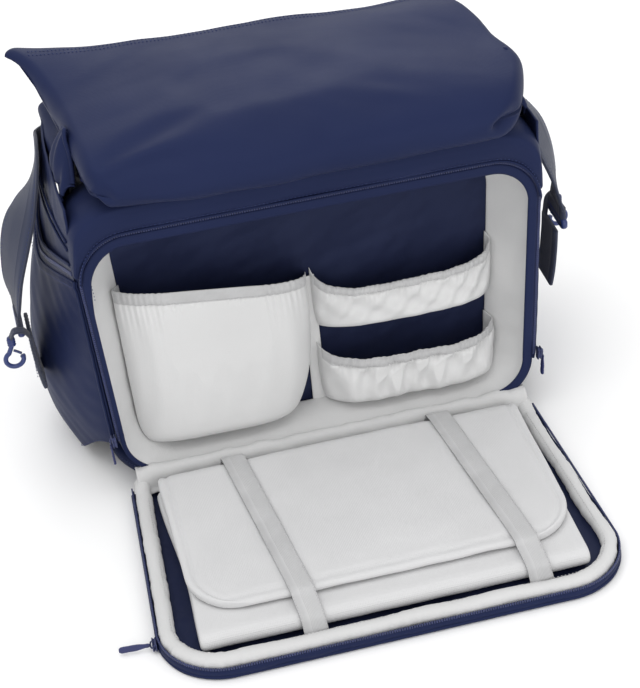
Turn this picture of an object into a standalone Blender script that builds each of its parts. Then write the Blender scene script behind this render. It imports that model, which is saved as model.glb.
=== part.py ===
"""Diaper bag: a padded nylon changing bag with its zipped front panel folded down as a changing
station and its cover flap folded back over the top. Metres, +Z up, the front faces -Y, and the
origin is the middle of the base on the floor."""

import math

import bmesh
import bpy
from mathutils import Matrix, Vector

# ---------------------------------------------------------------- driving sizes
FRONT_Y = -0.105  # plane of the front opening, at its bottom edge
BACK_Y = 0.100  # rear face of the bag
HINGE_Z = 0.020  # hinge line of the front panel
LEAN = math.radians(3.5)  # the front compartment leans back by this much
SEAM = 0.0004  # gap between pieces that are sewn together

OPENING_HALF_BOTTOM = 0.190
OPENING_HALF_TOP = 0.204
OPENING_HEIGHT = 0.248
OPENING_RADIUS = 0.042
COMPARTMENT_DEPTH = 0.055
GUSSET_THICK = 0.0022
ZIP_TAPE_WIDE = 0.009
TAPE_THICK = 0.0012
TEETH_RADIUS = 0.0011

BODY_HALF = 0.200  # the sides at their seams, before they bulge
BODY_TOP = 0.300
SIDE_BULGE = {-1: 0.020, 1: 0.006}  # the left side is stuffed fuller than the right
SIDE_POCKET_BULGE = {-1: 0.020, 1: 0.006}
RIGHT_TUCK = 0.019  # so what hangs on the right side lies this much closer in
REAR_BULGE = 0.008
FABRIC = 0.003
BASE_THICK = 0.015

PANEL_LENGTH = 0.2535
PANEL_HINGE_GAP = 0.0008
PANEL_THICK = 0.0018
RIM_RADIUS = 0.0075
RIM_Z = 0.0112
RIM_INSET = 0.0095

MAT_THICK = 0.0090
MAT_PITCH = 0.0096  # from one folded layer of the changing mat to the next
MAT_HALF = 0.168
MAT_NEAR, MAT_FAR, MAT_TOP_FAR = 0.0225, 0.2200, 0.2000
MAT_BOTTOM = 0.0066
ELASTIC_WIDE = 0.020
ELASTIC_THICK = 0.0014
ELASTIC_X = (-0.090, 0.100)

LID_HALF = 0.176
LID_FRONT = FRONT_Y + 0.022
LID_LOW, LID_HIGH = 0.3068, 0.3138
LID_AXIS = (BACK_Y + 0.002, 0.3072)
SKIRT_HALF = 0.178
SKIRT_FLARE = 0.030
SKIRT_FRONT, SKIRT_BACK = FRONT_Y - 0.006, FRONT_Y + 0.180
SKIRT_LOW, SKIRT_HIGH = 0.3150, 0.3450
SKIRT_AXIS = (FRONT_Y - 0.010, 0.347)

STRAP_WIDE = 0.038
STRAP_THICK = 0.003
STRAP_AXIS = (FRONT_Y + 0.070, 0.158)
SHOULDER_PAD_WIDE, SHOULDER_PAD_THICK = 0.050, 0.007

SLIDER_LONG, SLIDER_WIDE, SLIDER_HIGH = 0.013, 0.0085, 0.0045
PULL_WIDE, PULL_THICK = 0.0070, 0.0020

SIDE_ZIP_SEAT = {-1: (-0.2168, FRONT_Y + 0.103, 0.2135), 1: (0.2091, FRONT_Y + 0.103, 0.2135)}
SIDE_ZIP_RUN = Vector((0, 0.925, 0.380))

HOOK_X = 0.2690
HOOK_Y = {-1: FRONT_Y + 0.044, 1: FRONT_Y + 0.096}  # one edge of the tab's webbing on each side
HOOK_TOP = 0.166
HOOK_RADIUS, HOOK_ROD = 0.0078, 0.0022

ARC_STEPS = 6

# ---------------------------------------------------------------- looks
LOOKS = {
    "navy_nylon": ((0.022, 0.030, 0.095), 0.45, 0.0),
    "navy_webbing": ((0.016, 0.024, 0.070), 0.70, 0.0),
    "navy_lining": ((0.020, 0.026, 0.085), 0.40, 0.0),
    "grey_lining": ((0.60, 0.60, 0.59), 0.70, 0.0),
    "grey_elastic": ((0.47, 0.47, 0.47), 0.80, 0.0),
    "mat_cover": ((0.66, 0.66, 0.67), 0.55, 0.0),
    "zip_teeth": ((0.030, 0.040, 0.120), 0.35, 0.0),
    "zip_metal": ((0.050, 0.060, 0.140), 0.30, 0.6),
    "pull_rubber": ((0.045, 0.055, 0.180), 0.45, 0.0),
    "hook_plastic": ((0.040, 0.060, 0.240), 0.30, 0.0),
    "board": ((0.30, 0.28, 0.24), 0.80, 0.0),
}


def clear_scene():
    for obj in list(bpy.data.objects):
        bpy.data.objects.remove(obj, do_unlink=True)


def material(look):
    """Each look once, as a Principled material."""
    if look in bpy.data.materials:
        return bpy.data.materials[look]
    colour, roughness, metallic = LOOKS[look]
    made = bpy.data.materials.new(look)
    made.use_nodes = True
    shader = made.node_tree.nodes["Principled BSDF"]
    shader.inputs["Base Color"].default_value = (*colour, 1.0)
    shader.inputs["Roughness"].default_value = roughness
    shader.inputs["Metallic"].default_value = metallic
    made.diffuse_color = (*colour, 1.0)
    return made


# ---------------------------------------------------------------- modelling helpers
def add(name, data, look, parent=None):
    """Puts one part into the bag's collection."""
    obj = bpy.data.objects.new(name, data)
    bpy.data.collections["diaper_bag"].objects.link(obj)
    data.materials.append(material(look))
    obj.parent = parent
    return obj


def empty(name, place, parent=None, turn=None):
    """An axis or a local frame that parts hang on."""
    obj = bpy.data.objects.new(name, None)
    bpy.data.collections["diaper_bag"].objects.link(obj)
    obj.empty_display_size = 0.02
    obj.parent = parent
    obj.matrix_local = Matrix.Translation(place) @ (turn or Matrix()).to_4x4()
    return obj


def sheet(name, surface, columns, rows, thickness, look, parent=None, side=-1.0):
    """Fabric: a grid laid on surface(s, t), made solid. side is where the thickness goes."""
    bm = bmesh.new()
    bmesh.ops.create_grid(bm, x_segments=columns, y_segments=rows, size=0.5)
    for vert in bm.verts:
        vert.co = surface(vert.co.x + 0.5, vert.co.y + 0.5)
    bmesh.ops.remove_doubles(bm, verts=bm.verts, dist=1e-6)
    mesh = bpy.data.meshes.new(name)
    bm.to_mesh(mesh)
    bm.free()
    obj = add(name, mesh, look, parent)
    mesh.shade_smooth()
    solid = obj.modifiers.new("cloth_thickness", "SOLIDIFY")
    solid.thickness = thickness
    solid.offset = side
    solid.use_even_offset = True
    return obj


def ribbon(name, path_a, path_b, thickness, look, parent=None, side=-1.0):
    """A sheet ruled between two paths of as many points."""
    columns = len(path_a) - 1

    def surface(s, t):
        point = round(s * columns)
        return path_a[point].lerp(path_b[point], t)

    return sheet(name, surface, columns, 1, thickness, look, parent, side)


def block(name, low, high, bevel, look, parent=None, taper=0.0):
    """A rounded box between two corners; taper narrows its top in X."""
    bm = bmesh.new()
    bmesh.ops.create_cube(bm, size=1.0)
    low, high = Vector(low), Vector(high)
    for vert in bm.verts:
        share = vert.co + Vector((0.5, 0.5, 0.5))
        vert.co = Vector(low[i] + (high[i] - low[i]) * share[i] for i in range(3))
        if share.z > 0.5:
            vert.co.x -= math.copysign(taper, share.x - 0.5)
    mesh = bpy.data.meshes.new(name)
    bm.to_mesh(mesh)
    bm.free()
    obj = add(name, mesh, look, parent)
    if bevel:
        rounding = obj.modifiers.new("rounding", "BEVEL")
        rounding.width = bevel
        rounding.segments = 2
        rounding.limit_method = "NONE"
    return obj


def plate(name, outline, low, high, look, parent=None, upright=False):
    """A flat outline with a thickness from low to high; upright stands it in the XZ plane."""
    curve = bpy.data.curves.new(name, "CURVE")
    curve.dimensions = "2D"
    curve.fill_mode = "BOTH"
    curve.extrude = (high - low) / 2
    spline = curve.splines.new("POLY")
    spline.points.add(len(outline) - 1)
    for point, (x, y) in zip(spline.points, outline):
        point.co = (x, y, 0.0, 1.0)
    spline.use_cyclic_u = True
    obj = add(name, curve, look, parent)
    middle = (low + high) / 2
    if upright:
        obj.matrix_local = Matrix.Translation((0, middle, 0)) @ Matrix.Rotation(math.pi / 2, 4, "X")
    else:
        obj.location = (0, 0, middle)
    return obj


def tube(name, points, radius, look, parent=None):
    """A round rod, coil or roll along a path."""
    curve = bpy.data.curves.new(name, "CURVE")
    curve.dimensions = "3D"
    curve.bevel_depth = radius
    curve.bevel_resolution = 1
    curve.use_fill_caps = True
    spline = curve.splines.new("POLY")
    spline.points.add(len(points) - 1)
    for point, co in zip(spline.points, points):
        point.co = (*co, 1.0)
    return add(name, curve, look, parent)


def smooth_path(points, steps):
    """Catmull-Rom samples through the points, steps to each span."""
    ends = [2 * points[0] - points[1], *points, 2 * points[-1] - points[-2]]
    path = []
    for a, b, c, d in zip(ends, ends[1:], ends[2:], ends[3:]):
        for step in range(steps):
            u = step / steps
            path.append(
                0.5 * (2 * b + (c - a) * u + (2 * a - 5 * b + 4 * c - d) * u**2 + (3 * b - a - 3 * c + d) * u**3)
            )
    return path + [points[-1]]


def webbing(name, route, facing, steps, width, thickness, look, parent=None):
    """A flat strap along a route, its face turned to the facing direction given at each point."""
    path, normals = smooth_path(route, steps), smooth_path(facing, steps)
    left, right = [], []
    for i, point in enumerate(path):
        tangent = path[min(i + 1, len(path) - 1)] - path[max(i - 1, 0)]
        across = normals[i].cross(tangent).normalized() * (width / 2)
        left.append(point - across)
        right.append(point + across)
    return ribbon(name, left, right, thickness, look, parent, side=0.0)


def arc(centre, radius, start, end, steps=ARC_STEPS):
    """Points of an arc in a plane, angles in degrees."""
    found = []
    for i in range(steps + 1):
        angle = math.radians(start + (end - start) * i / steps)
        found.append(Vector((centre[0] + radius * math.cos(angle), centre[1] + radius * math.sin(angle))))
    return found


def opening_outline(inset=0.0, low=0.0, radius=OPENING_RADIUS):
    """The front opening's outline as (x, height), clockwise from its bottom left corner."""
    taper = math.degrees(math.atan((OPENING_HALF_TOP - OPENING_HALF_BOTTOM) / OPENING_HEIGHT))
    top, bottom = OPENING_HEIGHT - inset, low + inset
    radius = max(radius - inset, 0.004)

    def half(height):
        share = height / OPENING_HEIGHT
        return OPENING_HALF_BOTTOM + (OPENING_HALF_TOP - OPENING_HALF_BOTTOM) * share - inset

    x_top = half(top) - radius * math.tan(math.radians(45 + taper / 2))
    x_low = half(bottom) - radius * math.tan(math.radians(45 - taper / 2))
    corner_bl = arc((-x_low, bottom + radius), radius, 270, 180 - taper)
    corner_tl = arc((-x_top, top - radius), radius, 180 - taper, 90)
    left = corner_bl + corner_tl
    return left + [Vector((-p.x, p.y)) for p in reversed(left)]


def upright_path(outline, depth):
    """An (x, height) outline set at a depth behind the opening."""
    return [Vector((p.x, depth, p.y)) for p in outline]


def three_sides(outline):
    """The outline without its bottom corners: up the left side, over the top, down the right."""
    return outline[ARC_STEPS : len(outline) - ARC_STEPS]


# ---------------------------------------------------------------- front compartment (leans with its frame)
def front_compartment():
    frame = empty("compartment_frame", (0, FRONT_Y, HINGE_Z), None, Matrix.Rotation(-LEAN, 3, "X"))
    outline = opening_outline()
    loop = outline + outline[:1]
    ribbon(
        "front_gusset",
        upright_path(loop, 0.0008),
        upright_path(loop, COMPARTMENT_DEPTH),
        GUSSET_THICK,
        "navy_nylon",
        frame,
        side=-1.0,
    )
    inner = opening_outline(GUSSET_THICK + 0.0005)
    back = [Vector((p.x * 0.86, 0.004 + p.y * 0.95)) for p in inner]
    ribbon(
        "gusset_lining",
        upright_path(inner + inner[:1], 0.0020),
        upright_path(back + back[:1], COMPARTMENT_DEPTH - SEAM),
        0.0015,
        "grey_lining",
        frame,
        side=-1.0,
    )
    wall = [(p.x, p.y) for p in opening_outline(0.0005)]
    plate("divider_wall", wall, COMPARTMENT_DEPTH + SEAM, COMPARTMENT_DEPTH + 0.0034, "navy_lining", frame, True)

    sides = three_sides(outline)
    ribbon(
        "bag_zip_tape",
        upright_path(sides, 0.0004),
        upright_path(three_sides(opening_outline(ZIP_TAPE_WIDE)), 0.0004),
        TAPE_THICK,
        "navy_nylon",
        frame,
        side=-1.0,
    )
    teeth = three_sides(opening_outline(-TEETH_RADIUS - 0.0006))
    tube("bag_zip_teeth", upright_path(teeth, 0.0), TEETH_RADIUS, "zip_teeth", frame)
    front_yoke(frame, sides)
    pockets(frame)


def front_yoke(frame, sides):
    """The padded top band over the opening, from the zip up to the mouth of the bag."""
    inner = [Vector((p.x * 1.004, p.y + 0.0012)) for p in sides[1:-1]]
    corner = arc((-0.164, 0.249), 0.034, 176, 90, ARC_STEPS)
    left = [Vector((-0.2085, inner[0].y)), *corner[1:]]
    left = left[: len(inner) // 2]
    outer = left + [Vector((-p.x, p.y)) for p in reversed(left)]
    ribbon(
        "front_yoke",
        upright_path(inner, 0.0016),
        upright_path(outer, 0.0016),
        COMPARTMENT_DEPTH - 0.004,
        "navy_nylon",
        frame,
        side=-1.0,
    )


def pouch_surface(x_low, x_high, low, high, depth, sag):
    """A gathered pocket's front: it bellies forward between its side and bottom seams."""

    def surface(s, t):
        across = (1 - abs(2 * s - 1) ** 3.0) ** 0.5
        upward = (1 - (1 - t) ** 4) ** 0.5 * (1 - 0.12 * t)
        rounding = 0.018 * (1 - t) ** 5
        x = x_low + (x_high - x_low) * s
        x += rounding * (1 - s) if x_low < 0 else -rounding * s
        y = COMPARTMENT_DEPTH - SEAM - depth * across * upward
        return Vector((x, y, low + (high - low) * t - sag * across * t))

    return surface


def pockets(frame):
    """Three open pockets on the divider wall, each with an elastic hem."""
    sizes = {
        "large_pocket": (-0.158, -0.002, 0.0140, 0.168, 0.0335, 0.004),
        "upper_pocket": (0.006, 0.162, 0.0990, 0.150, 0.0300, 0.008),
        "lower_pocket": (0.006, 0.154, 0.0140, 0.082, 0.0320, 0.006),
    }
    hem = 0.010
    for name, (x_low, x_high, low, high, depth, sag) in sizes.items():
        surface = pouch_surface(x_low, x_high, low, high, depth, sag)
        sheet(name, surface, 12, 6, 0.0015, "grey_lining", frame, side=1.0)
        start = 1 - hem / (high - low)

        def hem_surface(s, t, surface=surface, start=start):
            inside = 0.06 + 0.88 * s
            return surface(inside, start + (1 - start) * t) + Vector((0, -0.0031, 0))

        sheet(name + "_elastic", hem_surface, 12, 1, 0.0015, "grey_elastic", frame, side=1.0)


# ---------------------------------------------------------------- front panel (folds down on its hinge)
def panel_outline(inset=0.0, near=PANEL_HINGE_GAP):
    """The panel's outline as (x, -distance from the hinge)."""
    outline = opening_outline(inset)
    stretch = (PANEL_LENGTH - inset) / (OPENING_HEIGHT - inset)
    kept = three_sides(outline)
    far = [Vector((p.x, -p.y * stretch)) for p in kept[1:-1]]
    half = OPENING_HALF_BOTTOM - inset
    return [Vector((-half, -near)), *far, Vector((half, -near))]


def panel_path(inset, height, near=PANEL_HINGE_GAP):
    return [Vector((p.x, p.y, height - HINGE_Z)) for p in panel_outline(inset, near)]


def front_panel():
    axis = empty("front_panel_axis", (0, FRONT_Y, HINGE_Z))
    plate(
        "panel_shell",
        [(p.x, p.y) for p in panel_outline()],
        -HINGE_Z,
        PANEL_THICK - HINGE_Z,
        "navy_nylon",
        axis,
    )
    lining = panel_outline(RIM_INSET + RIM_RADIUS + 0.0008, 0.006)
    plate(
        "panel_lining",
        [(p.x, p.y) for p in lining],
        PANEL_THICK + SEAM - HINGE_Z,
        MAT_BOTTOM - 0.0006 - HINGE_Z,
        "navy_lining",
        axis,
    )
    tube("panel_rim", panel_path(RIM_INSET, RIM_Z, 0.010), RIM_RADIUS, "grey_lining", axis)
    low, high = PANEL_THICK + SEAM, 0.0100
    ribbon(
        "panel_zip_tape",
        panel_path(0.0002, low, 0.008),
        panel_path(0.0002, high, 0.008),
        TAPE_THICK,
        "navy_nylon",
        axis,
        side=-1.0,
    )
    teeth = panel_path(0.0002, high + SEAM + TEETH_RADIUS, 0.008)
    tube("panel_zip_teeth", teeth, TEETH_RADIUS, "zip_teeth", axis)
    changing_mat(axis)
    for x, name in zip(ELASTIC_X, ("left", "right")):
        mat_strap("elastic_strap_" + name, x, axis)
    return axis


def changing_mat(axis):
    """The padded mat, folded in three."""
    layer = [MAT_BOTTOM + MAT_THICK / 2 + MAT_PITCH * i - HINGE_Z for i in range(3)]
    bend = MAT_PITCH / 2
    profile = [Vector((MAT_NEAR - bend, layer[0]))]
    profile += arc((MAT_FAR - bend, layer[0] + bend), bend, -90, 90, 8)
    profile += arc((MAT_NEAR + bend, layer[1] + bend), bend, 270, 90, 8)
    profile += [Vector((MAT_TOP_FAR, layer[2]))]
    left = [Vector((-MAT_HALF, -p.x, p.y)) for p in profile]
    right = [Vector((MAT_HALF, -p.x, p.y)) for p in profile]
    ribbon("changing_mat", left, right, MAT_THICK, "mat_cover", axis, side=0.0)


def mat_strap(name, x, axis):
    """An elastic strap over the mat, sewn down at the hinge and at the far rim."""
    top = MAT_BOTTOM + MAT_THICK + 2 * MAT_PITCH + 0.0006
    route = [
        (0.0100, MAT_BOTTOM),
        (0.0115, top - 0.006),
        (0.0170, top),
        (MAT_TOP_FAR + 0.002, top),
        (MAT_FAR + 0.0065, top - MAT_PITCH),
        (MAT_FAR + 0.0090, MAT_BOTTOM + 0.002),
    ]
    left = [Vector((x - ELASTIC_WIDE / 2, -u, z - HINGE_Z)) for u, z in route]
    right = [Vector((x + ELASTIC_WIDE / 2, -u, z - HINGE_Z)) for u, z in route]
    ribbon(name, left, right, ELASTIC_THICK, "grey_elastic", axis, side=1.0)


# ---------------------------------------------------------------- main body
def lean_y(height):
    """World Y of the main body's front edge at a height, just behind the divider wall."""
    return FRONT_Y + COMPARTMENT_DEPTH + 0.0050 + math.tan(LEAN) * (height - HINGE_Z)


def swell(s, t):
    """How far a stuffed panel stands out, 0 at its seams and 1 in its lower middle."""
    across = (4 * s * (1 - s)) ** 0.5
    upward = min(1.0, t / 0.22) ** 0.5 * min(1.0, (1 - t) / 0.75) ** 0.7
    return across * upward


def side_surface(sign, low, high, standoff, bulge, y_front=0.0, y_back=0.0):
    """A side of the bag between two heights, front edge at s=0."""

    def surface(s, t):
        z = low + (high - low) * t
        y_low, y_high = lean_y(z) + y_front, BACK_Y - FABRIC - SEAM - y_back
        y = y_low + (y_high - y_low) * s
        body_s = (y - lean_y(z)) / (BACK_Y - FABRIC - lean_y(z))
        body_t = (z - BASE_THICK) / (BODY_TOP - BASE_THICK)
        out = standoff + SIDE_BULGE[sign] * swell(body_s, min(body_t, 1.0)) + bulge * swell(s, t)
        return Vector((sign * (BODY_HALF + out), y, z))

    return surface


def main_body():
    block(
        "base_panel",
        (-BODY_HALF + 0.002, FRONT_Y + 0.0008, 0.0),
        (BODY_HALF - 0.002, BACK_Y - 0.001, BASE_THICK),
        0.005,
        "navy_nylon",
    )
    block(
        "base_board",
        (-BODY_HALF + 0.016, FRONT_Y + 0.068, BASE_THICK + SEAM),
        (BODY_HALF - 0.016, BACK_Y - 0.012, BASE_THICK + 0.003),
        0.0,
        "board",
    )
    low, high = BASE_THICK + SEAM, BODY_TOP - 0.004
    for sign, side in ((-1, "left"), (1, "right")):
        panel = side_surface(sign, low, high, 0.0, 0.0)
        sheet("side_panel_" + side, panel, 8, 8, FABRIC, "navy_nylon", side=float(sign))
        side_pocket(sign, side)
        closure_end(sign, side)

    def rear(s, t):
        out = REAR_BULGE * swell(s, t)
        x = (2 * s - 1) * (BODY_HALF - 0.001)
        return Vector((x, BACK_Y - 0.0028 + out, low + (BODY_TOP - low) * t))

    sheet("rear_panel", rear, 12, 6, 0.0028, "navy_nylon", side=-1.0)
    main_lining()
    mouth_zip()


def side_pocket(sign, side):
    """The zipped pocket on a side; its top slants down towards the front."""
    low, top_front, top_back = 0.020, 0.190, 0.232
    y_front, y_back = 0.014, 0.012

    def height(s):
        return top_front + (top_back - top_front) * s

    def surface(s, t):
        body = side_surface(sign, low, height(s), FABRIC + 0.0014, SIDE_POCKET_BULGE[sign], y_front, y_back)
        return body(s, t)

    sheet("side_pocket_" + side, surface, 8, 6, 0.0025, "navy_nylon", side=float(sign))

    def tape(s, t):
        body = side_surface(sign, low, height(s) + 0.004 + 0.012 * t, FABRIC + 0.0010, 0.0, y_front, y_back)
        return body(s, 1.0)

    sheet("side_zip_" + side, tape, 10, 1, TAPE_THICK, "zip_teeth", side=float(sign))


def closure_end(sign, side):
    """The gathered end of the top closure, standing up beside the cover flap."""

    def surface(s, t):
        y = FRONT_Y + 0.046 + 0.070 * s + 0.006 * t * (1 - 2 * s)
        x = 0.2035 - 0.0125 * t + 0.004 * math.sin(math.pi * t)
        return Vector((sign * x, y, BODY_TOP - 0.003 + 0.040 * t))

    sheet("closure_end_" + side, surface, 4, 3, 0.0025, "navy_nylon", side=0.0)


def main_lining():
    """The open-topped lining bag of the main compartment."""
    half, front, back = 0.193, FRONT_Y + 0.0795, BACK_Y - 0.0050
    low, high = BASE_THICK + 0.0036, BODY_TOP - 0.012
    bm = bmesh.new()
    bmesh.ops.create_cube(bm, size=1.0)
    top = [face for face in bm.faces if face.normal.z > 0.5]
    bmesh.ops.delete(bm, geom=top, context="FACES_ONLY")
    for vert in bm.verts:
        x, y, z = vert.co
        vert.co = (2 * half * x, (front + back) / 2 + (back - front) * y, (low + high) / 2 + (high - low) * z)
    mesh = bpy.data.meshes.new("main_lining")
    bm.to_mesh(mesh)
    bm.free()
    obj = add("main_lining", mesh, "grey_lining")
    solid = obj.modifiers.new("cloth_thickness", "SOLIDIFY")
    solid.thickness = 0.001
    solid.offset = -1.0


def mouth_zip():
    """The two halves of the main zip, along the front and the rear of the mouth."""
    half, low, high = 0.178, BODY_TOP - 0.016, BODY_TOP - 0.0015
    for name, y in (("front", FRONT_Y + 0.0745), ("rear", BACK_Y - 0.0075)):
        block(
            "main_zip_tape_" + name,
            (-half, y, low),
            (half, y + TAPE_THICK, high),
            0.0,
            "zip_teeth",
        )


# ---------------------------------------------------------------- cover flap
def cover_flap():
    """The flap's rear half covers the mouth; its front half, the skirt, is folded back on it."""
    axis = empty("flap_axis", (0, *LID_AXIS))
    y0, z0 = LID_AXIS
    block(
        "flap_top",
        (-LID_HALF, LID_FRONT - y0, LID_LOW - z0),
        (LID_HALF, BACK_Y - 0.001 - y0, LID_HIGH - z0),
        0.003,
        "navy_nylon",
        axis,
    )
    fold = empty("skirt_axis", (0, SKIRT_AXIS[0] - y0, SKIRT_AXIS[1] - z0), axis)

    def skirt(s, t):
        y = SKIRT_FRONT + (SKIRT_BACK - SKIRT_FRONT) * t
        flare = max(0.0, (y - FRONT_Y - 0.122) / (SKIRT_BACK - FRONT_Y - 0.122))
        half = SKIRT_HALF + SKIRT_FLARE * flare * flare * (3 - 2 * flare)
        return Vector(((2 * s - 1) * half, y - SKIRT_AXIS[0], SKIRT_HIGH - SKIRT_AXIS[1]))

    sheet("flap_skirt", skirt, 6, 12, SKIRT_HIGH - SKIRT_LOW, "navy_nylon", fold, side=-1.0)

    foot = empty("handle_axis", (0, FRONT_Y + 0.2025 - y0, LID_HIGH + 0.001 - z0), axis)
    arch = [(-0.060, 0.0), (-0.058, 0.016), (-0.048, 0.026), (0.048, 0.026), (0.058, 0.016), (0.060, 0.0)]
    near = [Vector((x, -0.019, z)) for x, z in arch]
    far = [Vector((x, 0.0, z)) for x, z in arch]
    ribbon("grab_handle", near, far, 0.0025, "navy_webbing", foot, side=0.0)


# ---------------------------------------------------------------- shoulder strap, anchors and stroller hooks
def tucked(sign):
    return RIGHT_TUCK if sign > 0 else 0.0


def hung(sign, x):
    """World X of something that hangs at x beside the bag."""
    return sign * (x - tucked(sign))


def strap_route(sign):
    """Points up one side and round to the back, and the way the strap faces at each."""
    places = [
        (0.2590, 0.070, 0.176),
        (0.2580, 0.077, 0.206),
        (0.2490, 0.092, 0.240),
        (0.2370, 0.112, 0.267),
        (0.2285, 0.138, 0.283),
        (0.2250, 0.168, 0.284),
        (0.2200, 0.198, 0.268),
        (0.2000, 0.2210, 0.252),
        (0.1640, 0.2255, 0.244),
    ]
    facing = [(1, 0, 0)] * 5 + [(1, 0.05, 0), (0.9, 0.35, 0), (0.45, 0.9, 0), (0, 1, 0)]
    tucks = [1.0, 1.0, 1.0, 1.0, 0.8, 0.5, 0.2, 0.0, 0.0]
    route = []
    for (x, y, z), tuck in zip(places, tucks):
        route.append(Vector((hung(sign, x) + sign * tucked(sign) * (1 - tuck), FRONT_Y + y, z)))
    return route, [Vector((sign * x, y, z)) for x, y, z in facing]


def shoulder_strap():
    axis = empty("strap_axis", (0, *STRAP_AXIS))
    centre = Vector((0, *STRAP_AXIS))
    for sign, side in ((-1, "left"), (1, "right")):
        route, facing = strap_route(sign)
        local = [p - centre for p in route]
        webbing("shoulder_strap_" + side, local, facing, 3, STRAP_WIDE, STRAP_THICK, "navy_webbing", axis)
        block(
            "strap_adjuster_" + side,
            (hung(sign, 0.2590) - 0.004, -0.022, 0.002),
            (hung(sign, 0.2590) + 0.004, 0.022, 0.0130),
            0.0015,
            "hook_plastic",
            axis,
        )
        strap_tab(sign, side)
    half = 0.162
    route = [Vector((x * half, FRONT_Y + y, z)) - centre for x, y, z in (
        (-1.0, 0.2255, 0.2435),
        (-0.5, 0.2275, 0.2360),
        (0.0, 0.2280, 0.2330),
        (0.5, 0.2275, 0.2360),
        (1.0, 0.2255, 0.2435),
    )]
    facing = [Vector((0, 1, 0))] * len(route)
    webbing("shoulder_pad", route, facing, 2, SHOULDER_PAD_WIDE, SHOULDER_PAD_THICK, "navy_nylon", axis)


def strap_tab(sign, side):
    """The folded webbing low on the side that the strap and the stroller hook hang on."""
    places = [(0.2480, 0.104), (0.2500, 0.120), (0.2515, 0.142), (0.2520, 0.1590)]
    near = [Vector((hung(sign, x), FRONT_Y + 0.050, z)) for x, z in places]
    far = [Vector((hung(sign, x), FRONT_Y + 0.090, z)) for x, z in places]
    ribbon("strap_tab_" + side, near, far, 0.0030, "navy_webbing", side=0.0)


def stroller_hooks():
    """A snap hook on each side: an open loop with a sprung gate."""
    for sign, side in ((-1, "left"), (1, "right")):
        pivot = empty("hook_axis_" + side, (hung(sign, HOOK_X), HOOK_Y[sign], HOOK_TOP))
        centre = (0.0, -0.022)
        loop = arc(centre, HOOK_RADIUS, 120, 380, 12)
        path = [Vector((0.0, 0.0, 0.0)), *(Vector((-sign * p.x, 0.0, p.y)) for p in loop)]
        tube("stroller_hook_" + side, path, HOOK_ROD, "hook_plastic", pivot)
        gate_foot = Vector((-sign * 0.0067, 0.0, -0.0170))
        gate = empty("gate_axis_" + side, gate_foot, pivot)
        rod = [Vector((0.0, 0.0, 0.0)), Vector((sign * 0.0033, 0.0, 0.0026)), Vector((sign * 0.0060, 0.0, 0.0044))]
        tube("hook_gate_" + side, rod, 0.0011, "zip_metal", gate)


# ---------------------------------------------------------------- zip sliders
def zip_slider(name, place, along, outward, parent, pull_long, pull_way):
    """A slider with its pull. along is the zip's direction and outward its face. pull_way is +1 or
    -1 for the end of the slider that the pull lies over, or 0 for a pull that stands out from it.
    The pull's empty is on its pin."""
    x_axis, z_axis = along.normalized(), outward.normalized()
    y_axis = z_axis.cross(x_axis)
    turn = Matrix((x_axis, y_axis, z_axis)).transposed()
    seat = empty(name + "_seat", place, parent, turn)
    long, wide = SLIDER_LONG / 2, SLIDER_WIDE / 2
    block(name, (-long, -wide, 0.0), (long, wide, SLIDER_HIGH), 0.0010, "zip_metal", seat)
    lift = SLIDER_HIGH + 0.0005 + PULL_THICK / 2
    pin = empty(name + "_pull_axis", (pull_way * 0.002, 0, lift), seat)
    ends = sorted((0.0, pull_way * pull_long))
    thick, wide = PULL_THICK / 2, PULL_WIDE / 2
    low, high = (ends[0], -wide, -thick), (ends[1], wide, thick)
    if pull_way == 0:
        low, high = (-thick, -wide, -thick), (thick, wide, pull_long)
    block(name.replace("slider", "pull"), low, high, 0.0009, "pull_rubber", pin)


def zips(panel_axis):
    up_frame = Matrix.Rotation(-LEAN, 3, "X")
    rise = (OPENING_HALF_TOP - OPENING_HALF_BOTTOM) / OPENING_HEIGHT
    start = 0.046
    for sign, side in ((-1, "left"), (1, "right")):
        along = up_frame @ Vector((sign * rise, 0, 1)).normalized()
        outward = up_frame @ Vector((sign, 0, -sign * sign * rise)).normalized()
        outset = OPENING_HALF_BOTTOM + rise * start + 0.0034
        place = Vector((0, FRONT_Y, HINGE_Z)) + up_frame @ Vector((sign * outset, -0.003, start))
        zip_slider("front_zip_slider_" + side, place, along, outward, None, 0.022, -1)

        zip_slider("side_zip_slider_" + side, Vector(SIDE_ZIP_SEAT[sign]), SIDE_ZIP_RUN, Vector((sign, 0, 0)), None, 0.020, -1)

    place = Vector((-0.1828, FRONT_Y + 0.0771, BODY_TOP - 0.0010))
    zip_slider("main_zip_slider", place, Vector((0, -1, 0)), Vector((0, 0, 1)), None, 0.024, 1)

    slope = (OPENING_HALF_TOP - OPENING_HALF_BOTTOM) / PANEL_LENGTH
    corner = Vector((-OPENING_HALF_BOTTOM - slope * 0.196 - 0.0008, -0.196, 0.0052 - HINGE_Z))
    zip_slider("front_pocket_slider", corner, Vector((-slope, -1, 0)), Vector((-1, slope, 0)), panel_axis, 0.026, 0)


def build():
    clear_scene()
    collection = bpy.data.collections.new("diaper_bag")
    bpy.context.scene.collection.children.link(collection)
    front_compartment()
    panel_axis = front_panel()
    main_body()
    cover_flap()
    shoulder_strap()
    stroller_hooks()
    zips(panel_axis)
    bpy.context.view_layer.update()


build()
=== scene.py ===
"""Looks of the diaper bag: padded nylon, linings, zips, webbing and the changing mat, built round
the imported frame. Metres, the row frame: +Z up, the front faces -Y, origin at the base's middle."""

import math

import bmesh
import bpy
import numpy as np
from mathutils import Matrix, Vector


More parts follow.
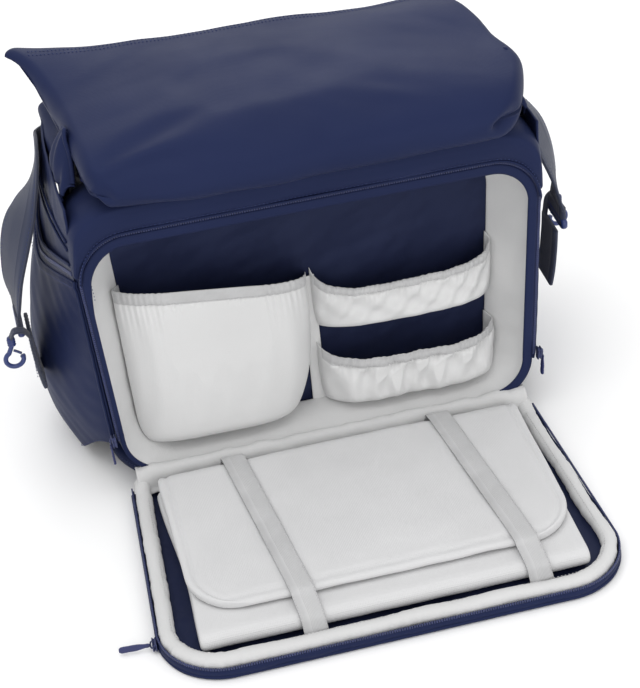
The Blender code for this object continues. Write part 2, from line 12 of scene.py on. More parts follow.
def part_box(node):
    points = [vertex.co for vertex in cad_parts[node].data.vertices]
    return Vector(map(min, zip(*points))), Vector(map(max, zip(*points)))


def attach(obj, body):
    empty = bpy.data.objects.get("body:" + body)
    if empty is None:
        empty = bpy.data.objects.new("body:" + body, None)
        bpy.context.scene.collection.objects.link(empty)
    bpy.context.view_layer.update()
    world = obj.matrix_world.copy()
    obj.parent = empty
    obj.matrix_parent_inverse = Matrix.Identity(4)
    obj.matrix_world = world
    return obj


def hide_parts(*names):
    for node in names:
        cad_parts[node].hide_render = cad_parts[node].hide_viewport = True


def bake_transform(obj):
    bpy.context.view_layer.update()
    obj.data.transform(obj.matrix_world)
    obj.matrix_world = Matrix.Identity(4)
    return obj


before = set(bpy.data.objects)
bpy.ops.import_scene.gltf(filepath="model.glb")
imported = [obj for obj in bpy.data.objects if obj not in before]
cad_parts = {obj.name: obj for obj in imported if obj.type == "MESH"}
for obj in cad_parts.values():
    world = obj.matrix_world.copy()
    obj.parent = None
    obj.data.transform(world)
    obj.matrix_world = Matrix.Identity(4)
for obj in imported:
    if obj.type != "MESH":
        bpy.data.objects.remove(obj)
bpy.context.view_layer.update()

# ---------------------------------------------------------------- sizes shared with the frame
FRONT_Y = -0.105
HINGE_Z = 0.02
LEAN = math.radians(3.5)
COS, SIN = math.cos(LEAN), math.sin(LEAN)
HALF_LOW, HALF_TOP, TALL = 0.19, 0.204, 0.248
CORNER = 0.042
PANEL_LONG = 0.2475
PANEL_CORNER = 0.056
BASE_THICK = 0.015
BODY_HALF = 0.2
BODY_TOP = 0.3
BACK_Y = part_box("rear_panel")[1].y
REAR_SEAM_Y = 0.0995
MAT_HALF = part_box("changing_mat")[1].x
CAMERA_LENS, CAMERA_AWAY, CAMERA_TARGET = 100.6, 1.635, (-0.015, -0.155, 0.165)
CAMERA_ANGLES = (-11.0, 37.1, -4.9)  # azimuth, elevation and roll in degrees
WORLD_LIGHT, LIGHT_AIM = 0.86, (0, -0.05, 0.15)
LAMPS = {  # place, size and power
    "key": ((-0.5, -0.3, 2.2), 1.8, 18),
    "front_fill": ((0.5, -2.4, 1.0), 1.8, 15),
    "rear_rim": ((0.4, 1.8, 1.5), 1.2, 10),
}
ELASTIC_RUN = ((-0.0975, -0.0735), (0.0940, 0.1210))  # x at the hinge and at the far edge

# ---------------------------------------------------------------- colours (linear)
NAVY = (0.014, 0.0195, 0.057)
NAVY_DEEP = (0.0125, 0.016, 0.042)
NAVY_WEB = (0.0135, 0.02, 0.052)
GREY = (0.58, 0.58, 0.58)
GREY_LINING = (0.66, 0.66, 0.66)
GREY_ELASTIC = (0.48, 0.48, 0.485)
MAT = (0.59, 0.59, 0.595)
PLASTIC_BLUE = (0.022, 0.038, 0.15)
RUBBER_BLUE = (0.02, 0.026, 0.11)
COIL = (0.028, 0.038, 0.12)
METAL = (0.055, 0.065, 0.15)
BOARD = (0.3, 0.28, 0.24)


# ---------------------------------------------------------------- materials
def shade(colour, factor):
    return tuple(c * factor for c in colour)


class Look:
    """A material's node tree, with short ways to add to it."""

    def __init__(self, name, coordinates="Object"):
        self.made = bpy.data.materials.new(name)
        self.made.use_nodes = True
        self.nodes, self.links = self.made.node_tree.nodes, self.made.node_tree.links
        self.coords = self.nodes.new("ShaderNodeTexCoord").outputs[coordinates]
        self.sockets = self.nodes["Principled BSDF"].inputs

    def feed(self, sockets, values):
        for name, value in values.items():
            if isinstance(value, bpy.types.NodeSocket):
                self.links.new(value, sockets[name])
            else:
                sockets[name].default_value = value

    def node(self, kind, output, values, **settings):
        made = self.nodes.new("ShaderNode" + kind)
        for name, value in settings.items():
            setattr(made, name, value)
        self.feed(made.inputs, values)
        return made.outputs[output]

    def wave(self, direction, scale, distortion=0.0):
        values = {"Vector": self.coords, "Scale": scale, "Distortion": distortion, "Detail": 1.0,
            "Detail Scale": 1.0}
        return self.node("TexWave", "Fac", values, bands_direction=direction)

    def speckle(self, scale, detail):
        return self.node("TexNoise", "Fac", {"Vector": self.coords, "Scale": scale, "Detail": detail})

    def scaled(self, value, factor, added):
        return self.node("Math", "Value", {0: value, 1: factor, 2: added}, operation="MULTIPLY_ADD")

    def tint(self, value, colour, stops):
        """The colour by a value, from (place, brightness) stops."""
        made = self.nodes.new("ShaderNodeValToRGB")
        made.color_ramp.elements.new(0.5)
        for element, (place, factor) in zip(made.color_ramp.elements, stops):
            element.position = place
            element.color = (*shade(colour, factor), 1.0)
        self.feed(made.inputs, {"Fac": value})
        self.feed(self.sockets, {"Base Color": made.outputs["Color"]})

    def bump(self, layers):
        """Stacks (height, strength, distance) bumps on the shader."""
        normal = {}
        for height, strength, distance in layers:
            values = {"Strength": strength, "Distance": distance, "Height": height, **normal}
            normal = {"Normal": self.node("Bump", "Normal", values)}
        self.feed(self.sockets, normal)


def cloth(name, colour, weave=0.0011, rough=0.55, sheen=0.3, specular=0.4, variation=0.1, weave_bump=0.25,
          wrinkle_bump=0.15, wrinkle_scale=26.0):
    """Woven fabric: crossed threads, soft creases, and shade that varies with handling."""
    look = Look(name)
    pitch = 0.5 / weave
    threads = look.scaled(look.wave("X", pitch), look.wave("Y", pitch), look.wave("Z", pitch))
    worn, fine, creases = look.speckle(7.0, 2.0), look.speckle(900.0, 2.0), look.speckle(wrinkle_scale, 4.0)
    look.tint(look.scaled(fine, 0.25, worn), colour,
        [(0.3, 1 - variation), (0.62, 1), (0.9, 1 + variation)])
    values = {"Roughness": look.scaled(creases, 0.16, rough - 0.08), "Specular IOR Level": specular}
    values.update({"Sheen Weight": sheen, "Sheen Roughness": 0.4})
    values["Sheen Tint"] = (*[min(1.0, c * 4 + 0.05) for c in colour], 1.0)
    if max(colour) < 0.3:
        values["Specular Tint"] = (0.42, 0.52, 0.95, 1.0)
    look.feed(look.sockets, values)
    look.bump([(creases, wrinkle_bump, 0.004), (threads, weave_bump, 0.0003)])
    return look.made


def ribbed(name, colour, direction, pitch, strength=0.6):
    """Webbing or elastic: ribs along it, with a finer cross thread."""
    look = Look(name, "UV")
    along = look.wave(direction, 0.5 / pitch)
    across = look.wave("Y" if direction == "X" else "X", 0.5 / (pitch * 0.6), 0.3)
    worn = look.speckle(30.0, 3.0)
    look.tint(look.scaled(along, 0.4, worn), colour, [(0.25, 0.82), (0.6, 1), (0.9, 1.12)])
    look.feed(look.sockets, {"Roughness": look.scaled(worn, 0.15, 0.68), "Sheen Weight": 0.2})
    look.bump([(along, strength, 0.0005), (across, strength * 0.5, 0.0002)])
    return look.made


def moulded(name, colour, rough, metallic=0.0, grain=600.0):
    """Plastic, rubber or painted metal, with fine grain and light scuffs."""
    look = Look(name)
    scuffs, fine = look.speckle(120.0, 5.0), look.speckle(grain, 2.0)
    look.tint(scuffs, colour, [(0.3, 0.88), (0.6, 1), (0.85, 1.25)])
    look.feed(look.sockets, {"Roughness": look.scaled(scuffs, 0.25, rough - 0.12), "Metallic": metallic})
    look.bump([(scuffs, 0.08, 0.0006), (fine, 0.08, 0.0002)])
    return look.made


LOOKS = {  # the record's slot for each look, and its material
    "nylon": (
        "navy_nylon",
        cloth("navy_nylon_cloth", NAVY, 0.0007, 0.5, 0.02, 0.14, weave_bump=0.1, wrinkle_bump=0.1),
    ),
    "nylon_deep": (
        "navy_lining",
        cloth("navy_lining_cloth", NAVY_DEEP, rough=0.42, sheen=0.05, specular=0.25, wrinkle_bump=0.3,
              wrinkle_scale=18.0),
    ),
    "grey": (
        "grey_lining",
        cloth("grey_binding_cloth", GREY, 0.0013, 0.75, 0.1, variation=0.05, wrinkle_bump=0.25),
    ),
    "lining": (
        "grey_lining",
        cloth("grey_lining_cloth", GREY_LINING, rough=0.7, sheen=0.1, variation=0.05, wrinkle_bump=0.25),
    ),
    "mat": (
        "mat_cover",
        cloth("mat_cloth", MAT, 0.0022, 0.62, 0.1, variation=0.04, weave_bump=0.35, wrinkle_bump=0.2),
    ),
    "webbing": ("navy_webbing", ribbed("navy_webbing", NAVY_WEB, "Y", 0.0016)),
    "elastic": ("grey_elastic", ribbed("grey_elastic", GREY_ELASTIC, "Y", 0.0018, 0.5)),
    "hem": ("grey_elastic", ribbed("grey_hem_elastic", GREY_ELASTIC, "X", 0.0016, 0.4)),
    "thread_navy": ("navy_nylon", cloth("navy_thread", shade(NAVY, 2.2), rough=0.5, sheen=0.4)),
    "thread_grey": ("grey_lining", cloth("grey_thread", shade(GREY, 0.78), rough=0.6, sheen=0.2)),
    "coil": ("zip_teeth", moulded("zip_coil", COIL, 0.38)),
    "tape": ("zip_teeth", ribbed("zip_tape", shade(NAVY, 0.95), "X", 0.0012, 0.4)),
    "metal": ("zip_metal", moulded("zip_metal", METAL, 0.32, 0.7)),
    "rubber": ("pull_rubber", moulded("pull_rubber", RUBBER_BLUE, 0.5, grain=1200.0)),
    "plastic": ("hook_plastic", moulded("hook_plastic", PLASTIC_BLUE, 0.34)),
    "board": ("board", moulded("base_board", BOARD, 0.8)),
}


# ---------------------------------------------------------------- mesh helpers
def xyz(x, y, z):
    return np.stack(np.broadcast_arrays(x, y, z), -1)


def leaned(x, v, w):
    """Points of the leaning front compartment: v is depth behind the opening and w is height."""
    return xyz(x, FRONT_Y + v * COS + w * SIN, HINGE_Z + w * COS - v * SIN)


def smooth(value, low, high):
    t = np.clip((np.asarray(value, float) - low) / (high - low), 0, 1)
    return t * t * (3 - 2 * t)


def bell(value, centre, width):
    return np.exp(-((value - centre) / width)**2)


def rounded(gap, radius):
    """How far a round corner has come in at a gap from its end."""
    return radius - np.sqrt(np.maximum(radius**2 - np.clip(radius - gap, 0, radius)**2, 0))


def ripple(a, b, scale, seed, terms=7):
    """Soft unevenness from -1 to 1, the same each run."""
    draw = np.random.default_rng(seed)
    total = 0
    for _ in range(terms):
        turn, size, phase = draw.uniform(0, 2 * np.pi), draw.uniform(0.6, 1.7), draw.uniform(0, 2 * np.pi)
        total = total + np.sin((a * np.cos(turn) + b * np.sin(turn)) * 2 * np.pi * size / scale + phase)
    return total / terms**0.5 / 1.4


def spline(points, count):
    """Catmull-Rom through rows of numbers, resampled to count rows evenly along its length."""
    points = np.asarray(points, float)
    ends = np.vstack([2 * points[0] - points[1], points, 2 * points[-1] - points[-2]])
    u = np.linspace(0, 1, 24, endpoint=False)[:, None]
    spans = []
    for a, b, c, d in zip(ends, ends[1:], ends[2:], ends[3:]):
        spans.append(0.5 * (2 * b + (c - a) * u + (2 * a - 5 * b + 4 * c - d) * u**2
            + (3 * b - a - 3 * c + d) * u**3))
    return even(np.vstack([*spans, points[-1:]]), count)


def even(rows, count, closed=False, columns=None):
    """The rows resampled to count of them, at equal steps measured on their first columns."""
    rows = np.asarray(rows, float)
    if closed:
        rows = np.vstack([rows, rows[:1]])
    run = run_of(rows[:, :columns])
    at = np.linspace(0, run[-1], count + 1)[:-1] if closed else np.linspace(0, run[-1], count)
    return np.stack([np.interp(at, run, column) for column in rows.T], 1)


def run_of(path):
    """The distance along a path at each of its points."""
    return np.concatenate([[0], np.cumsum(np.linalg.norm(np.diff(path, axis=0), axis=1))])


def length_of(path):
    return float(np.linalg.norm(np.diff(path, axis=0), axis=1).sum())


def tangents(path, closed=False):
    if closed:
        ahead = np.roll(path, -1, 0) - np.roll(path, 1, 0)
    else:
        ahead = np.gradient(path, axis=0)
    return ahead / np.maximum(np.linalg.norm(ahead, axis=1, keepdims=True), 1e-12)


def unit(rows):
    return rows / np.maximum(np.linalg.norm(rows, axis=-1, keepdims=True), 1e-12)


def grid_normals(points, closed=False):
    """Normals of a (rows, columns, 3) grid, from its own slopes."""
    if closed:
        across = np.roll(points, -1, 1) - np.roll(points, 1, 1)
    else:
        across = np.gradient(points, axis=1)
    along = np.gradient(points, axis=0)
    return unit(np.cross(across, along))


def finish_piece(obj, look, body, replaced, level):
    slot, material = LOOKS[look]
    obj.data.materials.append(material)
    obj.data.shade_smooth()
    if level:
        rounding = obj.modifiers.new("smooth_cloth", "SUBSURF")
        rounding.levels = rounding.render_levels = level
    if isinstance(body, str):
        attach(obj, body)
    if replaced:
        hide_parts(*replaced)
    return obj


def mesh_object(name, verts, faces, uvs=None):
    mesh = bpy.data.meshes.new(name)
    mesh.from_pydata(np.asarray(verts).reshape(-1, 3).tolist(), [], faces)
    if uvs is not None:
        layer = mesh.uv_layers.new(name="UVMap")
        index = np.empty(len(mesh.loops), int)
        mesh.loops.foreach_get("vertex_index", index)
        layer.data.foreach_set("uv", np.asarray(uvs)[index].ravel())
    mesh.validate()
    obj = bpy.data.objects.new(name, mesh)
    bpy.context.scene.collection.objects.link(obj)
    return obj


def skin(name, outer, look, body, thick=0.002, inner=None, closed=False, replaced=(), level=1):
    """A closed piece from its outer face, a (rows, columns, 3) grid, and its inner one or a thickness."""
    rows, columns = outer.shape[:2]
    if inner is None:
        thick = np.asarray(thick, float)
        inner = outer - grid_normals(outer, closed) * (thick[..., None] if thick.ndim else thick)
    count = rows * columns
    faces = []
    wrap = columns if closed else columns - 1
    for r in range(rows - 1):
        for c in range(wrap):
            a, b = r * columns + c, r * columns + (c + 1) % columns
            d, e = a + columns, b + columns
            faces.append((a, b, e, d))
            faces.append((count + a, count + d, count + e, count + b))
    for c in range(wrap):
        a, b = c, (c + 1) % columns
        faces.append((b, a, count + a, count + b))
        a, b = a + (rows - 1) * columns, b + (rows - 1) * columns
        faces.append((a, b, count + b, count + a))
    if not closed:
        for r in range(rows - 1):
            a, d = r * columns, (r + 1) * columns
            faces.append((a, d, count + d, count + a))
            a, d = a + columns - 1, d + columns - 1
            faces.append((d, a, count + a, count + d))
    run_u = run_of(outer[rows // 2])
    run_v = run_of(outer[:, columns // 2])
    uv = np.stack(np.broadcast_arrays(run_u[None, :], run_v[:, None]), -1).reshape(-1, 2)
    obj = mesh_object(name, np.concatenate([outer.reshape(-1, 3), inner.reshape(-1, 3)]), faces,
        np.vstack([uv, uv]))
    tidy(obj)
    return finish_piece(obj, look, body, replaced, level)


def tidy(obj):
    """Merges points that meet and turns every face outwards."""
    bm = bmesh.new()
    bm.from_mesh(obj.data)
    bmesh.ops.remove_doubles(bm, verts=bm.verts, dist=1e-06)
    bmesh.ops.recalc_face_normals(bm, faces=bm.faces)
    bm.to_mesh(obj.data)
    bm.free()


def sweep(name, path, section, look, body, normals=None, closed=False, replaced=(), level=0, scale=None):
    """A rod, roll or band along a path. section is a loop of (across, out) offsets, and scale
    stretches it at each point."""
    path = np.asarray(path, float)
    ahead = tangents(path, closed)
    if normals is None:
        normals = np.tile([0.0, 0.0, 1.0], (len(path), 1))
    normals = np.broadcast_to(np.asarray(normals, float), path.shape)
    across = unit(np.cross(normals, ahead))
    out = np.cross(ahead, across)
    section = np.asarray(section, float)
    size = np.ones((len(path), 2)) if scale is None else np.asarray(scale, float).reshape(len(path), -1)
    size = np.broadcast_to(size, (len(path), 2))
    rings = path[:, None] + across[:, None] * (section[None, :, :1]
        * size[:, None, :1]) + out[:, None] * (section[None, :, 1:] * size[:, None, 1:])
    return loft(name, rings, look, body, closed, replaced, level)


def loft(name, rings, look, body, closed=False, replaced=(), level=1):
    """A closed piece from rings of points, one after another, with its ends capped."""
    count, sides = rings.shape[:2]
    faces = []
    for i in range(count if closed else count - 1):
        j = (i + 1) % count
        for k in range(sides):
            m = (k + 1) % sides
            faces.append((i * sides + k, i * sides + m, j * sides + m, j * sides + k))
    if not closed:
        faces.append(tuple(range(sides))[::-1])
        faces.append(tuple((count - 1) * sides + k for k in range(sides)))
    run = run_of(rings.mean(1))
    middle = rings[count // 2]
    round_it = np.cumsum(np.linalg.norm(np.diff(middle, axis=0, append=middle[:1]), axis=1))
    uv = np.stack(np.broadcast_arrays(run[:, None], round_it[None, :]), -1).reshape(-1, 2)
    obj = mesh_object(name, rings, faces, uv)
    tidy(obj)
    return finish_piece(obj, look, body, replaced, level)


def circle(radius, sides=10):
    turn = np.linspace(0, 2 * np.pi, sides, endpoint=False)
    return np.stack([radius * np.cos(turn), radius * np.sin(turn)], 1)


def band(width, thick, edge=0.35):
    """A strap's cross-section with rounded edges."""
    w, t = width / 2, thick / 2
    e = min(t, w) * edge * 2
    half = [(-w, -t + e * 0.6), (-w + e, -t), (-w / 3, -t), (w / 3, -t), (w - e, -t), (w, -t + e * 0.6)]
    return np.array(half + [(-x, -y) for x, y in half])


OCTAHEDRON = [(0, 2, 4), (2, 1, 4), (1, 3, 4), (3, 0, 4), (2, 0, 5), (1, 2, 5), (3, 1, 5), (0, 3, 5)]
BOX = [(0, 1, 3, 2), (4, 6, 7, 5), (0, 4, 5, 1), (2, 3, 7, 6), (0, 2, 6, 4), (1, 5, 7, 3)]


def joined_pieces(name, shape, faces_of, path, out, pitch, look, body, closed=False, lift=0.0, replaced=()):
    """Many copies of one small shape at a pitch along a path, as one mesh."""
    path = np.asarray(path, float)
    both = np.hstack([path, np.broadcast_to(np.asarray(out, float), path.shape)])
    rows = even(both, max(3, int(length_of(path) / pitch)), closed, 3)
    places, out = rows[:, :3], unit(rows[:, 3:])
    ahead = tangents(places, closed)
    side = unit(np.cross(out, ahead))
    up = np.cross(ahead, side)
    shape = np.asarray(shape, float)[None]
    verts = (places + out * lift)[:, None] + ahead[:, None] * shape[..., :1]
    verts = verts + side[:, None] * shape[..., 1:2] + up[:, None] * shape[..., 2:]
    size = shape.shape[1]
    faces = [tuple(i * size + k for k in face) for i in range(len(places)) for face in faces_of]
    obj = mesh_object(name, verts, faces, verts.reshape(-1, 3)[:, :2])
    return finish_piece(obj, look, body, replaced, 0)


def stitches(name, path, out, body, look="thread_navy", pitch=0.0034, gauge=0.00042, closed=False, lift=0.0):
    """A row of stitches along a path, lying on the fabric."""
    long = pitch * 0.34
    shape = [(-long, 0, 0), (long, 0, 0), (0, -gauge, 0), (0, gauge, 0), (0, 0, gauge), (0, 0, -gauge)]
    return joined_pieces(name, shape, OCTAHEDRON, path, out, pitch, look, body, closed, lift)


def zip_coil(name, path, out, body, replaced=(), wide=0.0024):
    """One side of a coil zip: a row of teeth across the path."""
    pitch, tall = 0.0021, 0.0013
    half = (pitch * 0.33, wide / 2, tall / 2)
    sides = (-1, 1)
    shape = [(x * half[0], y * half[1], z * half[2]) for x in sides for y in sides for z in sides]
    joined_pieces(name, shape, BOX, path, out, pitch, "coil", body, replaced=replaced)


def puff(obj, pressure=4.0, cap=0.010, frames=20, keep=None):
    """Swells a closed piece like stuffed fabric with a short cloth simulation, then keeps the mesh.
    No point moves further than cap, and none moves where keep(points) is 1."""
    scene = bpy.context.scene
    rest = np.empty(len(obj.data.vertices) * 3)
    obj.data.vertices.foreach_get("co", rest)
    rest = rest.reshape(-1, 3)
    if keep is not None:
        group = obj.vertex_groups.new(name="sewn")
        for index, weight in enumerate(keep(rest)):
            if weight > 0.01:
                group.add([index], float(weight), "REPLACE")
    modifier = obj.modifiers.new("stuffing", "CLOTH")
    settings = modifier.settings
    settings.use_pressure = True
    settings.uniform_pressure_force = pressure
    settings.effector_weights.gravity = 0.0
    settings.quality = 4
    if keep is not None:
        settings.vertex_group_mass = "sewn"
    modifier.point_cache.frame_start, modifier.point_cache.frame_end = 1, frames
    for number in range(1, frames + 1):
        scene.frame_set(number)
    graph = bpy.context.evaluated_depsgraph_get()
    moved_mesh = obj.evaluated_get(graph).to_mesh()
    moved = np.empty(len(rest) * 3)
    moved_mesh.vertices.foreach_get("co", moved)
    obj.evaluated_get(graph).to_mesh_clear()
    shift = moved.reshape(-1, 3) - rest
    far = np.linalg.norm(shift, axis=1, keepdims=True)
    shift *= cap / np.maximum(far, cap)
    obj.modifiers.clear()
    obj.data.vertices.foreach_set("co", (rest + shift).ravel())
    obj.data.update()
    relax = obj.modifiers.new("relaxed", "SMOOTH")
    relax.factor, relax.iterations = 0.5, 4
    scene.frame_set(1)


# ---------------------------------------------------------------- the opening's outline
def half_width(w, inset=0.0):
    return HALF_LOW + (HALF_TOP - HALF_LOW) * np.asarray(w) / TALL - inset


def opening(inset=0.0, radius=CORNER, steps=14):
    """The front opening as (x, w) rows: from its bottom left corner up, over and down again."""
    taper = math.atan((HALF_TOP - HALF_LOW) / TALL)
    radius = max(radius - inset, 0.004)
    top, bottom = TALL - inset, inset
    x_top = half_width(top, inset) - radius * math.tan(math.pi / 4 + taper / 2)
    x_low = half_width(bottom, inset) - radius * math.tan(math.pi / 4 - taper / 2)
    low = np.linspace(1.5 * np.pi, np.pi - taper, steps + 1)
    high = np.linspace(np.pi - taper, np.pi / 2, steps + 1)
    left = np.vstack([np.stack([radius * np.cos(low) - x_low, bottom + radius + radius * np.sin(low)], 1),
        np.stack([radius * np.cos(high) - x_top, top - radius + radius * np.sin(high)], 1)])
    return np.vstack([left, left[::-1] * (-1, 1)])


def three_sides(inset=0.0, steps=14, radius=CORNER):
    return opening(inset, radius, steps)[steps:-steps]


def outward(path, closed=False):
    ahead = tangents(path, closed)
    return np.stack([-ahead[:, 1], ahead[:, 0]], 1)


def on_panel(x, u, z):
    """Points of the lowered front panel: u is the distance from its hinge."""
    return xyz(x, FRONT_Y - u, z)


def panel_path(inset, near=0.008, count=240):
    """The panel's outline as (x, u) rows, from the hinge round the far edge and back."""
    kept = three_sides(inset, radius=PANEL_CORNER)
    far = kept * (1, (PANEL_LONG - inset) / (TALL - inset))
    half = HALF_LOW - inset
    return even(np.vstack([[-half, near], far[1:-1], [half, near]]), count)


def flat_grid(inset, rows, columns, square_low=False, corner=CORNER):
    """(x, w) arrays that fill the opening's outline, row by row from its bottom."""
    lift = (1 - np.cos(np.linspace(0, np.pi, rows))) / 2
    w = inset + (TALL - 2 * inset) * lift
    radius = corner - inset
    cut = rounded(TALL - inset - w, radius) + (0 if square_low else rounded(w - inset, radius))
    half = half_width(w, inset) - cut
    share = np.linspace(-1, 1, columns)
    return (half[:, None] * share[None, :], np.repeat(w[:, None], columns, 1))


# ---------------------------------------------------------------- front compartment
def front_gusset():
    """The padded wall round the front compartment, with a seam ridge behind the zip."""
    path = even(opening(), 300, closed=True)
    out = outward(path, closed=True)
    v = np.array([0.0008, 0.0022, 0.0036, 0.005, 0.0064, 0.0078, 0.0092, 0.012, 0.017, 0.023, 0.03, 0.037])
    v = np.concatenate([v, [0.043, 0.049, 0.053, 0.055]])[:, None]
    run = np.arange(300)[None, :] * (length_of(path) / 300)
    w = path[None, :, 1]
    side = smooth(w, 0.004, 0.04) * (1 - smooth(w, 0.165, 0.205))
    belly = np.sin(np.pi * np.clip((v - 0.008) / 0.047, 0, 1))**0.8
    swell = side * belly * (0.006 + 0.0012 * ripple(run, v, 0.05, 3))
    ridge = 0.001 * bell(v, 0.005, 0.0018) * (1 - smooth(w, 0.2, 0.23))
    shift = swell + ridge
    outer = leaned(path[None, :, 0] + out[None, :, 0] * shift, v, w + out[None, :, 1] * shift)
    skin("padded_gusset", outer, "nylon", "bag", 0.002, closed=True, replaced=["front_gusset"])
    sides = even(three_sides(-0.001), 260)
    sides = sides[sides[:, 1] < 0.215]
    half = len(sides) // 2
    for name, part in (("left", sides[:half]), ("right", sides[half:])):
        out = outward(part)
        normal = lean_vector(out[:, 0], 0, out[:, 1])
        stitches("gusset_stitches_" + name, leaned(part[:, 0], 0.01, part[:, 1]), normal, "bag",
            lift=0.0006)


def lean_vector(x, v, w):
    """Directions of the leaning compartment in the row frame."""
    return xyz(x, v * COS + w * SIN, w * COS - v * SIN)


def gusset_lining():
    inner = even(opening(0.0027), 300, closed=True)
    back = inner * (0.86, 0.95) + (0, 0.004)
    out = outward(inner, closed=True)
    t = (np.linspace(0, 1, 14)**0.9)[:, None]
    run = np.arange(300)[None, :] * (length_of(inner) / 300)
    hollow = np.sin(np.pi * t) * (0.003 + 0.0014 * ripple(run, t * 0.05, 0.045, 5))
    hollow = hollow * smooth(inner[None, :, 1], 0.006, 0.05) * (1
        - 0.8 * smooth(inner[None, :, 1], 0.21, 0.24))
    x = inner[None, :, 0] * (1 - t) + back[None, :, 0] * t + out[None, :, 0] * hollow
    w = inner[None, :, 1] * (1 - t) + back[None, :, 1] * t + out[None, :, 1] * hollow
    seen = leaned(x, 0.0021 + 0.0524 * t, w)
    made = skin("soft_gusset_lining", seen, "lining", "bag", -0.0012, closed=True,
        replaced=["gusset_lining"])


def divider():
    x, w = flat_grid(0.001, 60, 90)
    edge = 1 - np.clip(np.abs(x) / half_width(w), 0, 1)**6
    slack = 0.0024 + 0.0019 * ripple(x, w * 0.7, 0.075, 8) + 0.0008 * ripple(x, w, 0.022, 9)
    seen = leaned(x, 0.0554 + edge * slack, w)
    made = skin("divider_lining", seen, "nylon_deep", "bag", -0.0016, replaced=["divider_wall"])


def zip_tapes():
    """The zip's tape round the opening, its coil, and the two rows of stitches that hold it."""
    outer, inner = even(opening(0.0)[2:-2], 360), even(opening(0.009)[2:-2], 360)
    narrow = 1 - 0.55 * (1 - smooth(outer[:, 1], 0.17, 0.23)) * smooth(-outer[:, 0], 0.0, 0.1)
    t = np.linspace(0, 1, 5)[:, None] * narrow[None, :]
    x = outer[None, :, 0] * (1 - t) + inner[None, :, 0] * t
    w = outer[None, :, 1] * (1 - t) + inner[None, :, 1] * t
    tape = leaned(x, 0.0003 + 0 * t, w)
    skin("bag_zip_band", tape, "nylon", "bag", 0.001, replaced=["bag_zip_tape"], level=0)
    front = lean_vector(0, -1.0, 0)
    for name, inset in (("outer", 0.0020), ("inner", 0.0074)):
        row = even(three_sides(inset), 300)
        row = row[(row[:, 1] > 0.19) | (row[:, 0] > 0)] if name == "inner" else row
        stitches("bag_zip_stitches_" + name, leaned(row[:, 0], -0.0001, row[:, 1]), front, "bag")
    teeth = even(three_sides(-0.0016), 400)
    zip_coil("bag_zip_coil", leaned(teeth[:, 0], 0.0, teeth[:, 1]), front, "bag", ["bag_zip_teeth"])


def front_yoke():
    """The padded band over the opening, from the zip up and back to the mouth."""
    sides = even(three_sides(0.0)[1:-1] * (1.004, 1) + (0, 0.0012), 400)
    rise = 0.2265
    sides = sides[sides[:, 1] > rise - 0.02]
    inner = even(sides, 120)
    turn = np.linspace(math.radians(176), math.radians(90), 20)
    corner = np.stack([-0.164 + 0.034 * np.cos(turn) * 1.28, 0.249 + 0.034 * np.sin(turn)], 1)
    left = np.vstack([[-0.2085, inner[0, 1] + 0.004], corner[1:]])
    outer = even(np.vstack([left, left[::-1] * (-1, 1)]), 120)
    deep = 0.051
    section = [(0.0, 0.0025, 0.0), (0.06, 0.0016, 0.35), (0.2, 0.0016, 0.8), (0.4, 0.0016, 1.0),
        (0.62, 0.0016, 1.0), (0.8, 0.002, 0.85), (0.93, 0.006, 0.45), (1.0, 0.013, 0.1), (1.02, 0.022, 0.0),
        (1.02, 0.033, 0.0), (1.0, 0.044, 0.0), (0.96, deep - 0.0005, 0.0), (0.7, deep, 0.0),
        (0.35, deep, 0.0), (0.04, deep, 0.0), (0.0, 0.038, 0.0), (0.0, 0.02, 0.0)]
    section = np.array(section)
    fine = even(np.vstack([section, section[:1]]) * (0.05, 1, 0.004), 61)[:-1] / (0.05, 1, 0.004)
    r, v, puffed = fine[:, 0][None], fine[:, 1][None], fine[:, 2][None]
    run = np.linspace(0, length_of(inner), 120)[:, None]
    fade = smooth(run, 0, 0.03) * (1 - smooth(run, run.max() - 0.03, run.max()))
    uneven = ripple(run, r * 0.05, 0.07, 12)
    x = inner[:, None, 0] * (1 - r) + outer[:, None, 0] * r
    w = inner[:, None, 1] * (1 - r) + outer[:, None, 1] * r
    v = v - puffed * fade * (0.0075 + 0.0012 * uneven)
    rings = leaned(x, v, w + 0.0006 * uneven * (r > 0.5))
    loft("padded_yoke", rings, "nylon", "bag", replaced=["front_yoke"])
    sew = inner + (outer - inner) * 0.2
    band_path = leaned(sew[:, 0], -0.0047, sew[:, 1])
    stitches("yoke_top_stitches", band_path, lean_vector(0, -1.0, 0.1), "bag", lift=0.0003)
    ridge = inner + (outer - inner) * 0.1
    rings = leaned(ridge[:, 0], -0.0028, ridge[:, 1])
    sweep("yoke_seam_ridge", rings, circle(0.0012, 8), "nylon", "bag", normals=lean_vector(0, -1.0, 0))


def lining_half(v, w):
    """How far out the compartment's lining is at a depth and height."""
    radius = CORNER - 0.0027
    low = rounded(w - 0.0027, radius)
    deep = np.clip((v - 0.0021) / 0.0524, 0, 1)
    return (half_width(w, 0.0027) - low) * (1 - 0.14 * deep)


